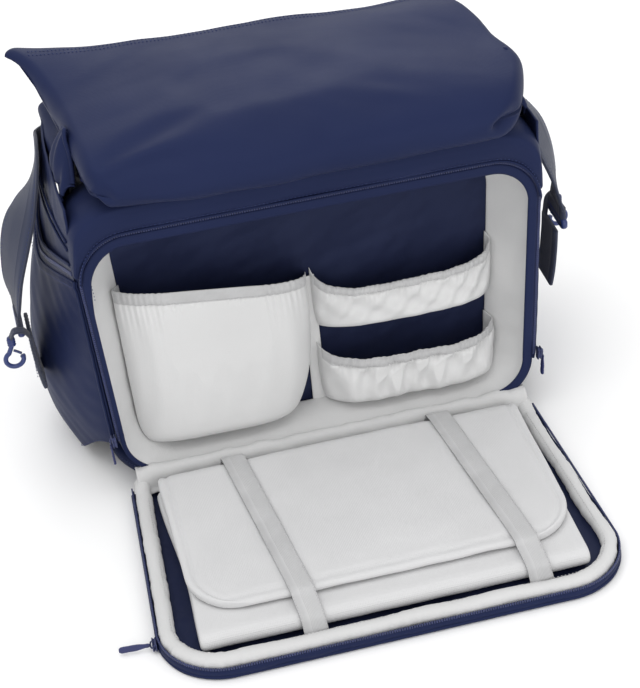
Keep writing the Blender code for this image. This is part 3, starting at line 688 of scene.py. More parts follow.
def pouch(name, sides, low, high, slant, depth, sag, fold, seed, round_low):
    """A gathered pocket with its elastic casing along the top."""
    x_low, x_high = sides
    hem = 0.0105
    cut = 1 - hem / (high - low)
    phase = np.random.default_rng(seed).uniform(0, 6, 6)
    wide = x_high - x_low

    def surface(s, t, forward=0.0):
        across = (1 - np.abs(2 * s - 1)**4.0)**0.5
        rise = np.clip((high - low) * t / 0.02, 0, 1)
        upward = (1 - (1 - rise)**2.5)**0.5 * (1 - 0.1 * t)
        x = x_low + wide * s
        x = x + (1 - t)**4 * (round_low[0] * (1 - s)**2 - round_low[1] * s**2)
        drift = 0.014 * np.sin(3.0 * t + phase[0]) + 0.01 * (1 - t) * (s - 0.5)
        gather = np.sin(2 * np.pi * (x + 0.2 * drift) / 0.0052 + 2.2 * np.sin(x / 0.013 + phase[1]))
        gather = gather + 0.5 * np.sin(2 * np.pi * x / 0.0083 + phase[2])
        folds = np.sin(2 * np.pi * (x + drift) / 0.024 + 1.7 * np.sin(x / 0.027 + phase[3]))
        folds = folds + 0.7 * np.sin(2 * np.pi * (x - 1.8 * drift) / 0.039 + phase[4])
        big = ripple(x * 0.9, t * (high - low), wide * 0.55, seed + 40)
        near_hem = bell(cut, t, 0.14) * (t < cut) + (t >= cut)
        body_folds = smooth(t, 0.02, 0.4) * (1 - 0.75 * (t > cut))
        shape = 0.00042 * gather * near_hem + fold * folds * body_folds + 0.7 * fold * big
        pinch = 0.0012 * bell(t, cut, 0.025)
        forward_most = np.clip(across * 1.6, 0, 1)
        v = 0.0546 - depth * across * upward - shape * forward_most + pinch * forward_most - forward
        v = np.maximum(v, 0.0125 + 0.0045 * smooth(t, 0.3, 0.7) - forward * 0.5)
        w = low + (high - low) * t + (slant * (s - 0.5) - sag * across) * t
        limit = lining_half(v, w) - 0.0008 - forward
        return leaned(np.clip(x, -limit, limit), v, w)

    s = np.linspace(0, 1, 260)[None, :]
    t = np.concatenate([np.linspace(0, cut, 54), np.linspace(cut, 1, 10)[1:]])[:, None]
    made = skin(name + "_cloth", surface(s, t), "lining", "bag", 0.001, replaced=[name])
    s = np.linspace(0.012, 0.988, 260)[None, :]
    t = np.linspace(cut, 1.01, 9)[:, None]
    casing = np.sin(np.pi * np.clip((t - cut) / (1.01 - cut), 0, 1))
    skin(name + "_hem", surface(s, t, 0.0009 + 0.0011 * casing), "hem", "bag", 0.0012,
        replaced=[name + "_elastic"])
    for row, at in (("low", cut + 0.012), ("high", 0.985)):
        line = surface(np.linspace(0.03, 0.97, 200), np.full(200, at), 0.0016)
        stitches(f'{name}_stitches_{row}', line, lean_vector(0, -1.0, 0), "bag", "thread_grey", 0.0026,
            0.0003)


def pockets():
    left, right = (-0.18, -0.001), (0.002, 0.172)
    pouch("large_pocket", left, low=0.0062, high=0.158, slant=-0.024, depth=0.0425, sag=-0.01, fold=0.0005,
        seed=1, round_low=(0.004, 0.024))
    pouch("upper_pocket", right, low=0.086, high=0.151, slant=0.002, depth=0.03, sag=0.017, fold=0.0019,
        seed=2, round_low=(0.004, 0.006))
    pouch("lower_pocket", right, low=0.0062, high=0.069, slant=-0.004, depth=0.04, sag=0.009, fold=0.0025,
        seed=3, round_low=(0.004, 0.006))
    s, t = np.linspace(-1, 1, 9)[None, :], np.linspace(0, 1, 60)[:, None]
    x = 0.0005 + 0.0065 * s
    v = 0.053 - 0.001 * (1 - s**2) - 0.0008 * ripple(x, t * 0.14, 0.03, 13)
    strip = skin("pocket_seam_strip", leaned(x, v, 0.006 + 0.136 * t + 0 * x), "lining", "bag", 0.0009)


def hinge_web():
    """The grey bound strip that joins the lowered panel to the bag along the hinge."""
    profile = spline([(-0.1, 0.0228), (-0.103, 0.0262), (-0.1075, 0.0272), (-0.1115, 0.024),
        (-0.1135, 0.018), (-0.115, 0.011), (-0.1185, 0.0066)], 16)
    x = np.linspace(-0.184, 0.184, 220)[None, :]
    away = np.clip(np.abs(x) / 0.184, 0, 1)
    crease = 0.0009 * ripple(x, profile[:, :1], 0.03, 21) + 0.0004 * ripple(x, profile[:, :1], 0.009, 22)
    y = profile[:, :1] + crease * 0.6
    z = profile[:, 1:] + crease + 0.0015 * away**8
    seen = xyz(x, y, z)
    made = skin("hinge_web", seen, "grey", None, 0.0022)
    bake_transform(made)
    line = np.stack([x[0, 4:-4], np.full(212, -0.1128), np.full(212, 0.0226)], 1)
    sewn = stitches("hinge_web_stitches", line, (0, -0.8, 0.6), None, "thread_grey", 0.003, 0.00035)
    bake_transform(sewn)


# ---------------------------------------------------------------- front panel, folded down
def panel():
    x_share = np.linspace(-1, 1, 80)
    stretch = PANEL_LONG / TALL
    x, w = flat_grid(0.0, 50, 80, square_low=True, corner=PANEL_CORNER)
    u = np.maximum(w * stretch, 0.0012)
    edge_fall = np.clip((1 - np.abs(x_share[None, :])) / 0.03, 0,
        1) * np.clip((PANEL_LONG - u) / 0.006, 0, 1)
    top = on_panel(x, u, 0.001 + 0.001 * edge_fall)
    bottom = on_panel(x, u, 0.0008 - 0.0008 * edge_fall)
    skin("panel_outside", top, "nylon", "front_panel", inner=bottom, replaced=["panel_shell"])

    x, w = flat_grid(0.01, 64, 110, square_low=True, corner=PANEL_CORNER)
    u = 0.006 + (w - 0.01) / (TALL - 0.02) * (PANEL_LONG - 0.01 - 0.006)
    slack = 0.001 * ripple(x, u, 0.09, 31) + 0.0006 * ripple(x * 1.2 + u * 0.5, u, 0.035, 32)
    z = 0.004 + slack + 0.0012 * smooth(u, 0.21, 0.245)
    made = skin("panel_lining_cloth", on_panel(x, u, z), "nylon_deep", "front_panel", 0.0012,
        replaced=["panel_lining"])

    outer = panel_path(0.0006, 0.006, 320)
    t = np.linspace(0, 1, 9)[:, None]
    wall_out = 0.0016 * np.sin(np.pi * t) + 0.0006 * ripple(np.arange(320)[None, :] * 0.0026, t * 0.01,
        0.05, 33)
    out = outward(outer)
    x = outer[None, :, 0] + out[None, :, 0] * wall_out
    u = outer[None, :, 1] + out[None, :, 1] * wall_out
    skin("panel_side_band", on_panel(x, u, 0.0012 + 0.0092 * t), "nylon", "front_panel", 0.0014,
        replaced=["panel_zip_tape"])
    coil = panel_path(-0.0002, 0.006, 420)
    flat = on_panel(coil[:, 0], coil[:, 1], 0.0112)
    zip_coil("panel_zip_coil", flat, on_panel_normals(coil), "front_panel", ["panel_zip_teeth"])
    piping = panel_path(0.0002, 0.004, 360)
    sweep("panel_piping", on_panel(piping[:, 0], piping[:, 1], 0.0022), circle(0.0019, 8), "nylon",
        "front_panel")


def on_panel_normals(path):
    out = outward(path)
    return np.stack([out[:, 0], -out[:, 1], np.zeros(len(path))], 1)


def panel_rim():
    """The wide grey binding round the panel: a soft roll with pinches and a row of stitches."""
    count = 520
    path = panel_path(0.009, 0.0035, count)
    centre = on_panel(path[:, 0], path[:, 1], 0.0112)
    out = on_panel_normals(path)
    run = np.linspace(0, length_of(path), count)
    ends = smooth(run, 0, 0.02) * (1 - smooth(run, run[-1] - 0.02, run[-1]))
    centre[:, 2] += 0.0012 * ripple(run, run * 0, 0.11, 41) + 0.0045 * (1 - ends)
    centre += out * (0.0008 * ripple(run, run * 0, 0.08, 42))[:, None]
    turning = np.linalg.norm(np.gradient(tangents(centre), axis=0), axis=1)
    pinch = 1 + 0.05 * ripple(run, run * 0, 0.018, 43) + 0.035 * ripple(run, run * 0, 0.007, 44)
    pinch = pinch + 6.0 * turning * ripple(run, run * 0, 0.006, 45) * 0.3
    section = np.array([(-0.0072, -0.004), (-0.0078, 0.0), (-0.0066, 0.0042), (-0.003, 0.0066),
        (0.001, 0.0068), (0.0046, 0.005), (0.0066, 0.0012), (0.007, -0.003), (0.005, -0.006), (0.0, -0.007),
        (-0.005, -0.0062)])
    sweep("panel_binding", centre, section * (-1, 1), "grey", "front_panel", replaced=["panel_rim"],
        scale=np.stack([pinch, 0.92 + 0.08 * pinch], 1), level=1)
    inner = panel_path(0.0128, 0.01, 400)
    line = on_panel(inner[:, 0], inner[:, 1], 0.0172)
    stitches("binding_stitches", line, (0, 0, 1), "front_panel", "thread_grey", 0.0032, 0.0004)


# ---------------------------------------------------------------- changing mat
MAT_PITCH, MAT_THICK, MAT_LOW = 0.0096, 0.0088, 0.0066
MAT_NEAR, MAT_FAR, MAT_FREE = 0.0225, 0.22, 0.2


def mat_profile(count=150):
    """The mat's middle line as (u, z): out along the panel, back, and out again on top."""
    layers = [MAT_LOW + MAT_THICK / 2 + MAT_PITCH * i for i in range(3)]
    bend = MAT_PITCH / 2
    turn = np.linspace(-np.pi / 2, np.pi / 2, 10)
    points = [np.array([[MAT_NEAR - bend, layers[0]]])]
    far = [MAT_FAR - bend + bend * np.cos(turn), layers[0] + bend + bend * np.sin(turn)]
    near = [MAT_NEAR + bend - bend * np.cos(turn), layers[1] + bend + bend * np.sin(turn)]
    points += [np.stack(far, 1), np.stack(near, 1), np.array([[MAT_FREE, layers[2]]])]
    return even(np.vstack(points), count)


def mat_grooves(x, u, z):
    """How far the elastic straps press the mat's top down."""
    total = 0
    for near, far in ELASTIC_RUN:
        centre = near + (far - near) * (u - 0.018) / 0.21
        total = total + np.exp(-((x - centre) / 0.0125)**4)
    return 0.0016 * total * smooth(z, 0.026, 0.034)


def changing_mat():
    line = mat_profile()
    ahead = tangents(line)
    normal = np.stack([-ahead[:, 1], ahead[:, 0]], 1)
    run = run_of(line)
    left = run[-1] - run
    corner = 0.046
    cut = rounded(left, corner)
    start = rounded(run, 0.006)
    half = MAT_HALF - 0.0005 - cut - start
    share = np.sin(np.linspace(-np.pi / 2, np.pi / 2, 121)) * 0.35 + np.linspace(-1, 1, 121) * 0.65
    x = half[:, None] * share[None, :]
    to_side = half[:, None] - np.abs(x)
    to_end = np.minimum(left, run + 0.002)[:, None]
    edge = np.minimum(to_side, to_end)
    plump = np.sqrt(np.clip(1 - (1 - np.clip(edge / 0.0055, 0, 1))**2, 0, 1)) * 0.5 + 0.5
    seam = 1 - 0.42 * bell(edge, 0.0075, 0.0018) * (left[:, None] < 0.21)
    thick = MAT_THICK / 2 * plump * seam * (1 + 0.05 * ripple(x, run[:, None], 0.05, 51))
    top = smooth(line[:, 1], 0.027, 0.031)[:, None]
    crown = top * 0.003 * np.cos(np.clip(x / half[:, None], -1, 1) * np.pi
        / 2) * smooth(left, 0, 0.05)[:, None]
    crown = crown * (1 - mat_grooves(x, line[:, :1], 0.04) / 0.0016)
    crown = crown + top * 0.0007 * ripple(x, run[:, None], 0.06, 52)
    u, z = line[:, :1], line[:, 1:] + crown - mat_grooves(x, line[:, :1], line[:, 1:])
    fan = (0.0035 * (1 - top) * (x < 0) * np.clip(-x / MAT_HALF, 0, 1)**4
        * ripple(run[:, None], 0 * x, 0.2, 54))
    outer = on_panel(x + fan, u + normal[:, :1] * thick, z + normal[:, 1:] * thick)
    inner = on_panel(x + fan, u - normal[:, :1] * thick, z - normal[:, 1:] * thick)
    skin("folded_mat", outer, "mat", "front_panel", inner=inner, replaced=["changing_mat"])


def elastic_straps():
    top = MAT_LOW + MAT_THICK + 2 * MAT_PITCH + 0.001
    route = spline([(0.01, 0.0072), (0.0112, 0.018), (0.014, 0.029), (0.022, top), (0.07, top + 0.0006),
        (0.13, top + 0.0006), (MAT_FREE - 0.006, top), (MAT_FREE + 0.004, top - 0.0035),
        (MAT_FAR + 0.002, top - 0.011), (MAT_FAR + 0.007, 0.0175), (0.231, 0.012)], 120)
    for name, (near, far) in zip(("left", "right"), ELASTIC_RUN):
        x = near + (far - near) * (route[:, 0] - 0.018) / 0.21
        centre = on_panel(x, route[:, 0], route[:, 1])
        ahead = tangents(centre)
        facing = np.cross(np.array([1.0, 0, 0]), -ahead)
        facing = unit(facing * np.sign(facing[:, 2:] + 1e-09))
        made = sweep("mat_elastic_" + name, centre, band(0.0205, 0.0013), "elastic", "front_panel",
            normals=facing, replaced=["elastic_strap_" + name])
        for side in (-1, 1):
            edge = centre + (side * 0.0094, 0, 0) + facing * 0.0008
            stitches(f"mat_elastic_{name}_edge_{'ab'[side > 0]}", edge, facing, "front_panel",
                "thread_grey", 0.0024, 0.0003)


# ---------------------------------------------------------------- sides
FULL_SIDE = {-1: 1.0, 1: 0.30}  # how far each side is stuffed
SIDES = {-1: "left", 1: "right"}
SIDE_HEIGHTS = (0.0, 0.004, 0.012, 0.04, 0.086, 0.12, 0.16, 0.19, 0.215, 0.255, 0.285, 0.3)
SIDE_REACH = (0.216, 0.221, 0.2285, 0.24, 0.249, 0.247, 0.24, 0.2335, 0.2265, 0.217, 0.211, 0.208)
SIDE_FRONT = 0.0070  # depth behind the zip at which the side cloth starts
ZIP_LINE = ((-0.11, 0.24), (-0.08, 0.234), (-0.045, 0.224), (-0.015, 0.216), (0.005, 0.2165))
ZIP_LINE += ((0.04, 0.2306), (0.06, 0.237), (0.1, 0.245))


def side_front_y(z):
    return FRONT_Y + SIDE_FRONT * COS + (z - HINGE_Z) * math.tan(LEAN)


def side_spot(s, z):
    """Y at a share s of the way from the side's front seam to its rear one."""
    front = side_front_y(z)
    return front + (REAR_SEAM_Y + 0.0022 - front) * s


def side_out(sign, s, z):
    """X of the side's outer face before its creases."""
    w = np.clip((z - HINGE_Z) / COS, 0.0, TALL)
    radius = CORNER
    low = radius - np.sqrt(np.maximum(radius**2 - np.clip(radius - w, 0, radius * 0.9)**2, 0))
    edge = half_width(w) - low * (1 - smooth(s, 0.0, 0.3)) + 0.0022
    rows = spline(np.stack([SIDE_HEIGHTS, SIDE_REACH], 1), 160)
    reach = np.interp(z, rows[:, 0], rows[:, 1])
    reach = 0.2055 + (reach - 0.2055) * FULL_SIDE[sign]
    front = edge + (reach - edge) * np.sin(np.pi / 2 * np.clip(s / 0.55, 0, 1))**0.85
    rear_edge = BODY_HALF + 0.0004
    rear = rear_edge + (reach - rear_edge) * np.cos(np.pi / 2 * np.clip((s - 0.55) / 0.45, 0, 1))**0.75
    return np.where(s < 0.55, front, rear)


def side_low(s):
    """The side cloth's lower edge: it lifts off the floor toward the rounded front corner."""
    return 0.003 + 0.05 * (1 - smooth(s, 0.0, 0.42))


def side_high(y):
    return np.interp(y, *spline(ZIP_LINE, 80).T)


def side_grid(sign, low, high, rows, lift, crease, seed, front=0.0, rear=1.0):
    """The side cloth between two heights, given as functions of the share along the side."""
    s = np.linspace(front, rear, 120)[None, :]
    t = np.linspace(0, 1, rows)[:, None]
    z = low(s) + (high(s) - low(s)) * t
    y = side_spot(s, z)
    soft = np.clip(6 * s * (1 - s), 0, 1)**0.7
    shift = crease * (ripple(y, z * 0.8, 0.13, seed + sign)
        + 0.25 * ripple(y * 1.3 - z, z, 0.045, seed + 2 + sign))
    seam = 0.0007 * np.sin(2 * np.pi * z / 0.019 + 9 * y) * bell(np.minimum(s, 1 - s), 0, 0.08)
    x = sign * (side_out(sign, s, z) + lift + soft * shift + seam * soft)
    return xyz(x, y, z)


def zip_height(s):
    for _ in range(3):
        z = side_high(side_spot(s, 0.22 + 0 * s))
    return z


def side_panel(sign):
    name = SIDES[sign]
    upper = side_grid(sign, lambda s: zip_height(s) - 0.03, lambda s: 0.2975 + 0 * s, 60, 0.0, 0.0014, 61)
    skin("side_cloth_" + name, upper, "nylon", "bag", 0.0024 * sign, replaced=["side_panel_" + name])
    s = np.linspace(0.03, 0.97, 160)
    for row, z in (("low", 0.2560), ("high", 0.2640)):
        path = np.stack([sign * (side_out(sign, s, z + 0 * s) + 0.0012), side_spot(s, z + 0 * s),
            z + 0 * s], 1)
        sweep(f'side_cuff_{row}_{name}', path, circle(0.0012, 8), "nylon", "bag", normals=(sign, 0, 0))


def side_pocket(sign):
    name = SIDES[sign]
    cloth_face = side_grid(sign, side_low, lambda s: zip_height(s) - 0.0075, 110, 0.0016, 0.002, 71)
    t = np.linspace(0, 1, 110)[:, None]
    cloth_face[..., 0] += sign * 0.0012 * bell(t, 0.97, 0.02)
    skin("side_pocket_cloth_" + name, cloth_face, "nylon", "bag", 0.0022 * sign,
        replaced=["side_pocket_" + name])
    for place, column in (("front", 1), ("rear", -2)):
        path = even(cloth_face[:, column], 110) + (sign * 0.0006, 0, 0)
        sweep(f'pocket_piping_{place}_{name}', path, circle(0.0014, 8), "nylon", "bag",
            normals=(sign, 0, 0))
    row_a = even(cloth_face[-5, 3:-3], 150) + (sign * 0.0008, 0, 0)
    stitches("pocket_stitches_a_" + name, row_a, (sign, 0, 0), "bag", lift=0.0003)
    row_b = even(cloth_face[1, 3:-3], 150) + (sign * 0.0008, 0, 0)
    stitches("pocket_stitches_b_" + name, row_b, (sign, 0, 0), "bag", lift=0.0003)

    low, high = lambda s: zip_height(s) - 0.0085, lambda s: zip_height(s) + 0.0085
    tape = side_grid(sign, low, high, 9, 0.0018, 0.0, 81, front=0.02, rear=0.97)
    skin("side_zip_band_" + name, tape, "tape", "bag", 0.0012 * sign, replaced=["side_zip_" + name])
    zip_coil("side_zip_coil_" + name, tape[4] + (sign * 0.0008, 0, 0), (sign, 0, 0), "bag", wide=0.0036)
    for row, index in (("low", 1), ("high", 7)):
        line = even(tape[index], 140) + (sign * 0.0006, 0, 0)
        stitches(f'side_zip_stitches_{row}_{name}', line, (sign, 0, 0), "bag")
        ridge = even(tape[0 if index == 1 else -1], 140) + (sign * 0.0008, 0, 0)
        sweep(f'side_zip_edge_{row}_{name}', ridge, circle(0.0011, 8), "nylon", "bag", normals=(sign, 0, 0))


def closure_end(sign):
    """The bunched end of the top closure that stands up beside the cover flap."""
    name = SIDES[sign]
    s = np.linspace(0, 1, 60)[None, :]
    t = np.linspace(0, 1, 34)[:, None]
    top = np.interp(s, [0, 0.12, 0.28, 0.45, 0.7, 1.0], [0.008, 0.034, 0.05, 0.046, 0.03, 0.014])
    z = 0.297 + top * t
    y = -0.058 + 0.072 * s + 0.01 * t * (0.35 - s)
    pleat = 0.0022 * np.sin(2 * np.pi * (s * 4.2 + 0.35 * t)) * (0.35 + 0.65 * (1 - t))
    puffed = 0.007 * np.sin(np.pi * np.clip(t, 0, 1))**0.7 * np.sin(np.pi * s)**0.6
    x = sign * (0.203 - 0.011 * t + puffed + pleat)
    grid = xyz(x, y, z)
    thick = 0.003 + 0.0045 * np.broadcast_to(np.sin(np.pi * s)**0.5 * np.sin(np.pi * t * 0.9)**0.5, z.shape)
    skin("closure_wing_" + name, grid, "nylon", "bag", thick * sign, replaced=["closure_end_" + name])
    edge = even(grid[-1], 90)
    sweep(f'closure_piping_{name}', edge, circle(0.0019, 8), "nylon", "bag", normals=(sign, 0, 0.2))


def top_shoulders(sign):
    """The soft end of the bag's top between the side panel and the cover flap."""
    name = SIDES[sign]
    s = np.linspace(0, 1, 60)[:, None]
    turn = np.linspace(-0.15 * np.pi, 0.62 * np.pi, 14)[None, :]
    y = -0.056 + (REAR_SEAM_Y - 0.004 + 0.056) * s
    radius = 0.0085 + 0.0012 * ripple(y, turn * 0.02, 0.05, 81 + sign)
    x = sign * (BODY_HALF - 0.0055 + radius * np.cos(turn))
    z = BODY_TOP - 0.006 + radius * np.sin(turn)
    grid = xyz(x, y, z)
    skin("top_shoulder_" + name, grid, "nylon", "bag", 0.002 * sign)


# ---------------------------------------------------------------- base, rear and the main compartment
def pad(name, low, high, radius, counts, look, body, uneven=0.0, seed=1, replaced=()):
    """A rounded cushion between two corners, with soft unevenness."""
    low, high = np.asarray(low, float), np.asarray(high, float)
    radius = np.broadcast_to(np.asarray(radius, float), 3)
    faces, verts, index = [], [], {}

    def vertex(i, j, k):
        key = (i, j, k)
        if key not in index:
            index[key] = len(verts)
            verts.append((i / counts[0], j / counts[1], k / counts[2]))
        return index[key]

    for axis in range(3):
        one, two = (axis + 1) % 3, (axis + 2) % 3
        for end in (0, counts[axis]):
            for a in range(counts[one]):
                for b in range(counts[two]):
                    corners = []
                    for da, db in ((0, 0), (1, 0), (1, 1), (0, 1)):
                        place = [0, 0, 0]
                        place[axis], place[one], place[two] = end, a + da, b + db
                        corners.append(vertex(*place))
                    faces.append(corners if end else corners[::-1])
    p = low + (high - low) * (0.5 - 0.5 * np.cos(np.pi * np.array(verts)) * 0.35
        + 0.65 * (np.array(verts) - 0.5))
    p = np.clip(p, low, high)
    core = np.clip(p, low + radius, high - radius)
    reach = (p - core) / radius
    far = np.linalg.norm(reach, axis=1, keepdims=True)
    p = np.where(far > 1e-09, core + reach / np.maximum(far, 1) * radius, p)
    if uneven:
        shift = uneven * ripple(p[:, 0] + p[:, 2], p[:, 1], 0.06, seed)
        p = p + unit(p - (low + high) / 2) * (shift * (far[:, 0] > 0.02))[:, None]
        flat = (0, 0, 1) if high[2] - low[2] < 0.05 else (0, 1, 0)
        p = p + np.array(flat) * (shift * 0.6)[:, None]
    obj = mesh_object(name, p, faces, p[:, :2])
    tidy(obj)
    finish_piece(obj, look, body, replaced, 1)


def base():
    """The quilted base, cut well back at its front corners."""
    half, front, back = BODY_HALF - 0.0015, FRONT_Y + 0.003, BACK_Y - 0.008
    parts = []
    corners = ((half, back, 0.022, 0), (-half, back, 0.022, 90), (-half, front, 0.07, 180),
        (half, front, 0.07, 270))
    for x, y, radius, start in corners:
        turn = np.radians(np.linspace(start, start + 90, 16))
        cx, cy = x - math.copysign(radius, x), y - math.copysign(radius, y)
        parts.append(np.stack([cx + radius * np.cos(turn), cy + radius * np.sin(turn)], 1))
    outline = even(np.vstack(parts), 280, closed=True)
    away = outward(outline, closed=True)
    away = away * np.sign((away * (outline - outline.mean(0))).sum(1, keepdims=True))
    layers = [(0.008, 0.0002), (0.0022, 0.001), (0.0004, 0.0036), (0.0, 0.008), (0.001, 0.0122),
        (0.006, 0.0146)]
    rings = [np.column_stack([outline - away * inset, np.full(280, z)]) for inset, z in layers]
    loft("base_pad", np.array(rings), "nylon", "bag", replaced=["base_panel"], level=0)
    edge = np.column_stack([outline + away * 0.0002, np.full(280, 0.01)])
    stitches("base_stitches", edge, np.column_stack([away, np.zeros(280)]), "bag", closed=True)


def rear_panel():
    s = np.linspace(0, 1, 110)[None, :]
    z = np.linspace(0.016, BODY_TOP, 80)[:, None]
    t = (z - 0.016) / (BODY_TOP - 0.016)
    x = (2 * s - 1) * (BODY_HALF - 0.001)
    across = np.sqrt(np.maximum(4 * s * (1 - s), 0))
    upward = np.clip(t / 0.22, 0, 1)**0.5 * np.clip((1 - t) / 0.75, 0, 1)**0.7
    soft = 0.0015 * ripple(x, z, 0.11, 91) + 0.0006 * ripple(x + z, z, 0.04, 92)
    groove = 0.0024 * bell(z, 0.205, 0.004) + 0.002 * np.exp(-((np.abs(x) - 0.125) / 0.004)**2)
    y = REAR_SEAM_Y + 0.0082 * across * upward + across * (soft - groove * smooth(t, 0.03, 0.1))
    grid = xyz(x, y, z)
    skin("rear_cloth", grid, "nylon", "bag", -0.0024, replaced=["rear_panel"])
    row = grid[np.argmin(np.abs(z[:, 0] - 0.2115))]
    stitches("rear_stitches_top", row[6:-6] + (0, 0.0003, 0), (0, 1, 0), "bag")
    for name, column in (("left", 19), ("right", -20)):
        stitches("rear_stitches_" + name, grid[6:-6, column] + (0, 0.0003, 0), (0, 1, 0), "bag")


def main_lining():
    half, front, back = 0.1925, FRONT_Y + 0.0798, BACK_Y - 0.0135
    low, high = BASE_THICK + 0.004, BODY_TOP - 0.0125
    turn = np.linspace(0, 2 * np.pi, 281)[:-1]
    x = np.sign(np.cos(turn)) * np.abs(np.cos(turn))**0.16 * half
    y = np.sign(np.sin(turn)) * np.abs(np.sin(turn))**0.24
    y = (front + back) / 2 + y * (back - front) / 2
    loop = even(np.stack([x, y], 1), 280, closed=True)
    z = np.linspace(low, high, 60)[:, None]
    run = np.arange(280)[None, :] * (length_of(loop) / 280)
    slack = 1 - 0.006 - 0.01 * np.abs(ripple(run, z, 0.06, 95)) - 0.006 * np.abs(ripple(run, z, 0.02, 96))
    centre = loop.mean(0)
    grid_x = centre[0] + (loop[None, :, 0] - centre[0]) * slack
    grid_y = centre[1] + (loop[None, :, 1] - centre[1]) * (0.4 + 0.6 * slack)
    grid = xyz(grid_x, grid_y, z)
    walls = skin("main_lining_walls", grid, "lining", "bag", -0.001, closed=True, replaced=["main_lining"])
    floor_x, floor_y = np.meshgrid(np.linspace(-half * 0.97, half * 0.97, 90),
        np.linspace(front + 0.002, back - 0.002, 40))
    floor = np.stack([floor_x, floor_y, low + 0.0004 + 0.0006 * (1 + ripple(floor_x, floor_y, 0.05, 97))],
        -1)
    made = skin("main_lining_floor", floor, "lining", "bag", 0.0008)


def base_board():
    low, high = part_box("base_board")
    pad("stiff_base_board", low, high, 0.0009, (60, 24, 3), "board", "bag", replaced=["base_board"])


def mouth_zip():
    for name in ("front", "rear"):
        low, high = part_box("main_zip_tape_" + name)
        x = np.linspace(low.x, high.x, 160)[None, :]
        z = np.linspace(low.z, high.z - 0.0006, 8)[:, None]
        middle = (low.y + high.y) / 2
        y = middle + 0.0008 + 0.0008 * ripple(x, z, 0.05, 98) * smooth(-z, -high.z, -low.z)
        grid = xyz(x, y, z)
        skin("mouth_zip_tape_" + name, grid, "tape", "bag", 0.001, replaced=["main_zip_tape_" + name],
            level=0)
        line = np.stack([x[0], np.full(160, middle), np.full(160, high.z)], 1)
        zip_coil("mouth_zip_coil_" + name, line, (0, 0, 1), "bag")


# ---------------------------------------------------------------- cover flap
LID_LOW, LID_HIGH = 0.3068, 0.3138
SKIRT_LEFT = [(-0.118, -0.166), (-0.108, -0.176), (-0.099, -0.18), (-0.086, -0.186), (-0.051, -0.19),
    (-0.011, -0.194)]
SKIRT_LEFT += [(0.02, -0.199), (0.039, -0.204), (0.057, -0.21), (0.072, -0.219), (0.08, -0.2265),
    (0.09, -0.223)]
SKIRT_RIGHT = [(-0.118, 0.152), (-0.11, 0.17), (-0.099, 0.183), (-0.08, 0.193), (-0.06, 0.2),
    (-0.045, 0.2035)]
SKIRT_RIGHT += [(-0.029, 0.2015), (-0.005, 0.1945), (0.015, 0.192), (0.031, 0.1895), (0.062, 0.18),
    (0.098, 0.166)]


def side_at(rows, y):
    fine = spline(rows, 120)
    return np.interp(y, fine[:, 0], fine[:, 1])


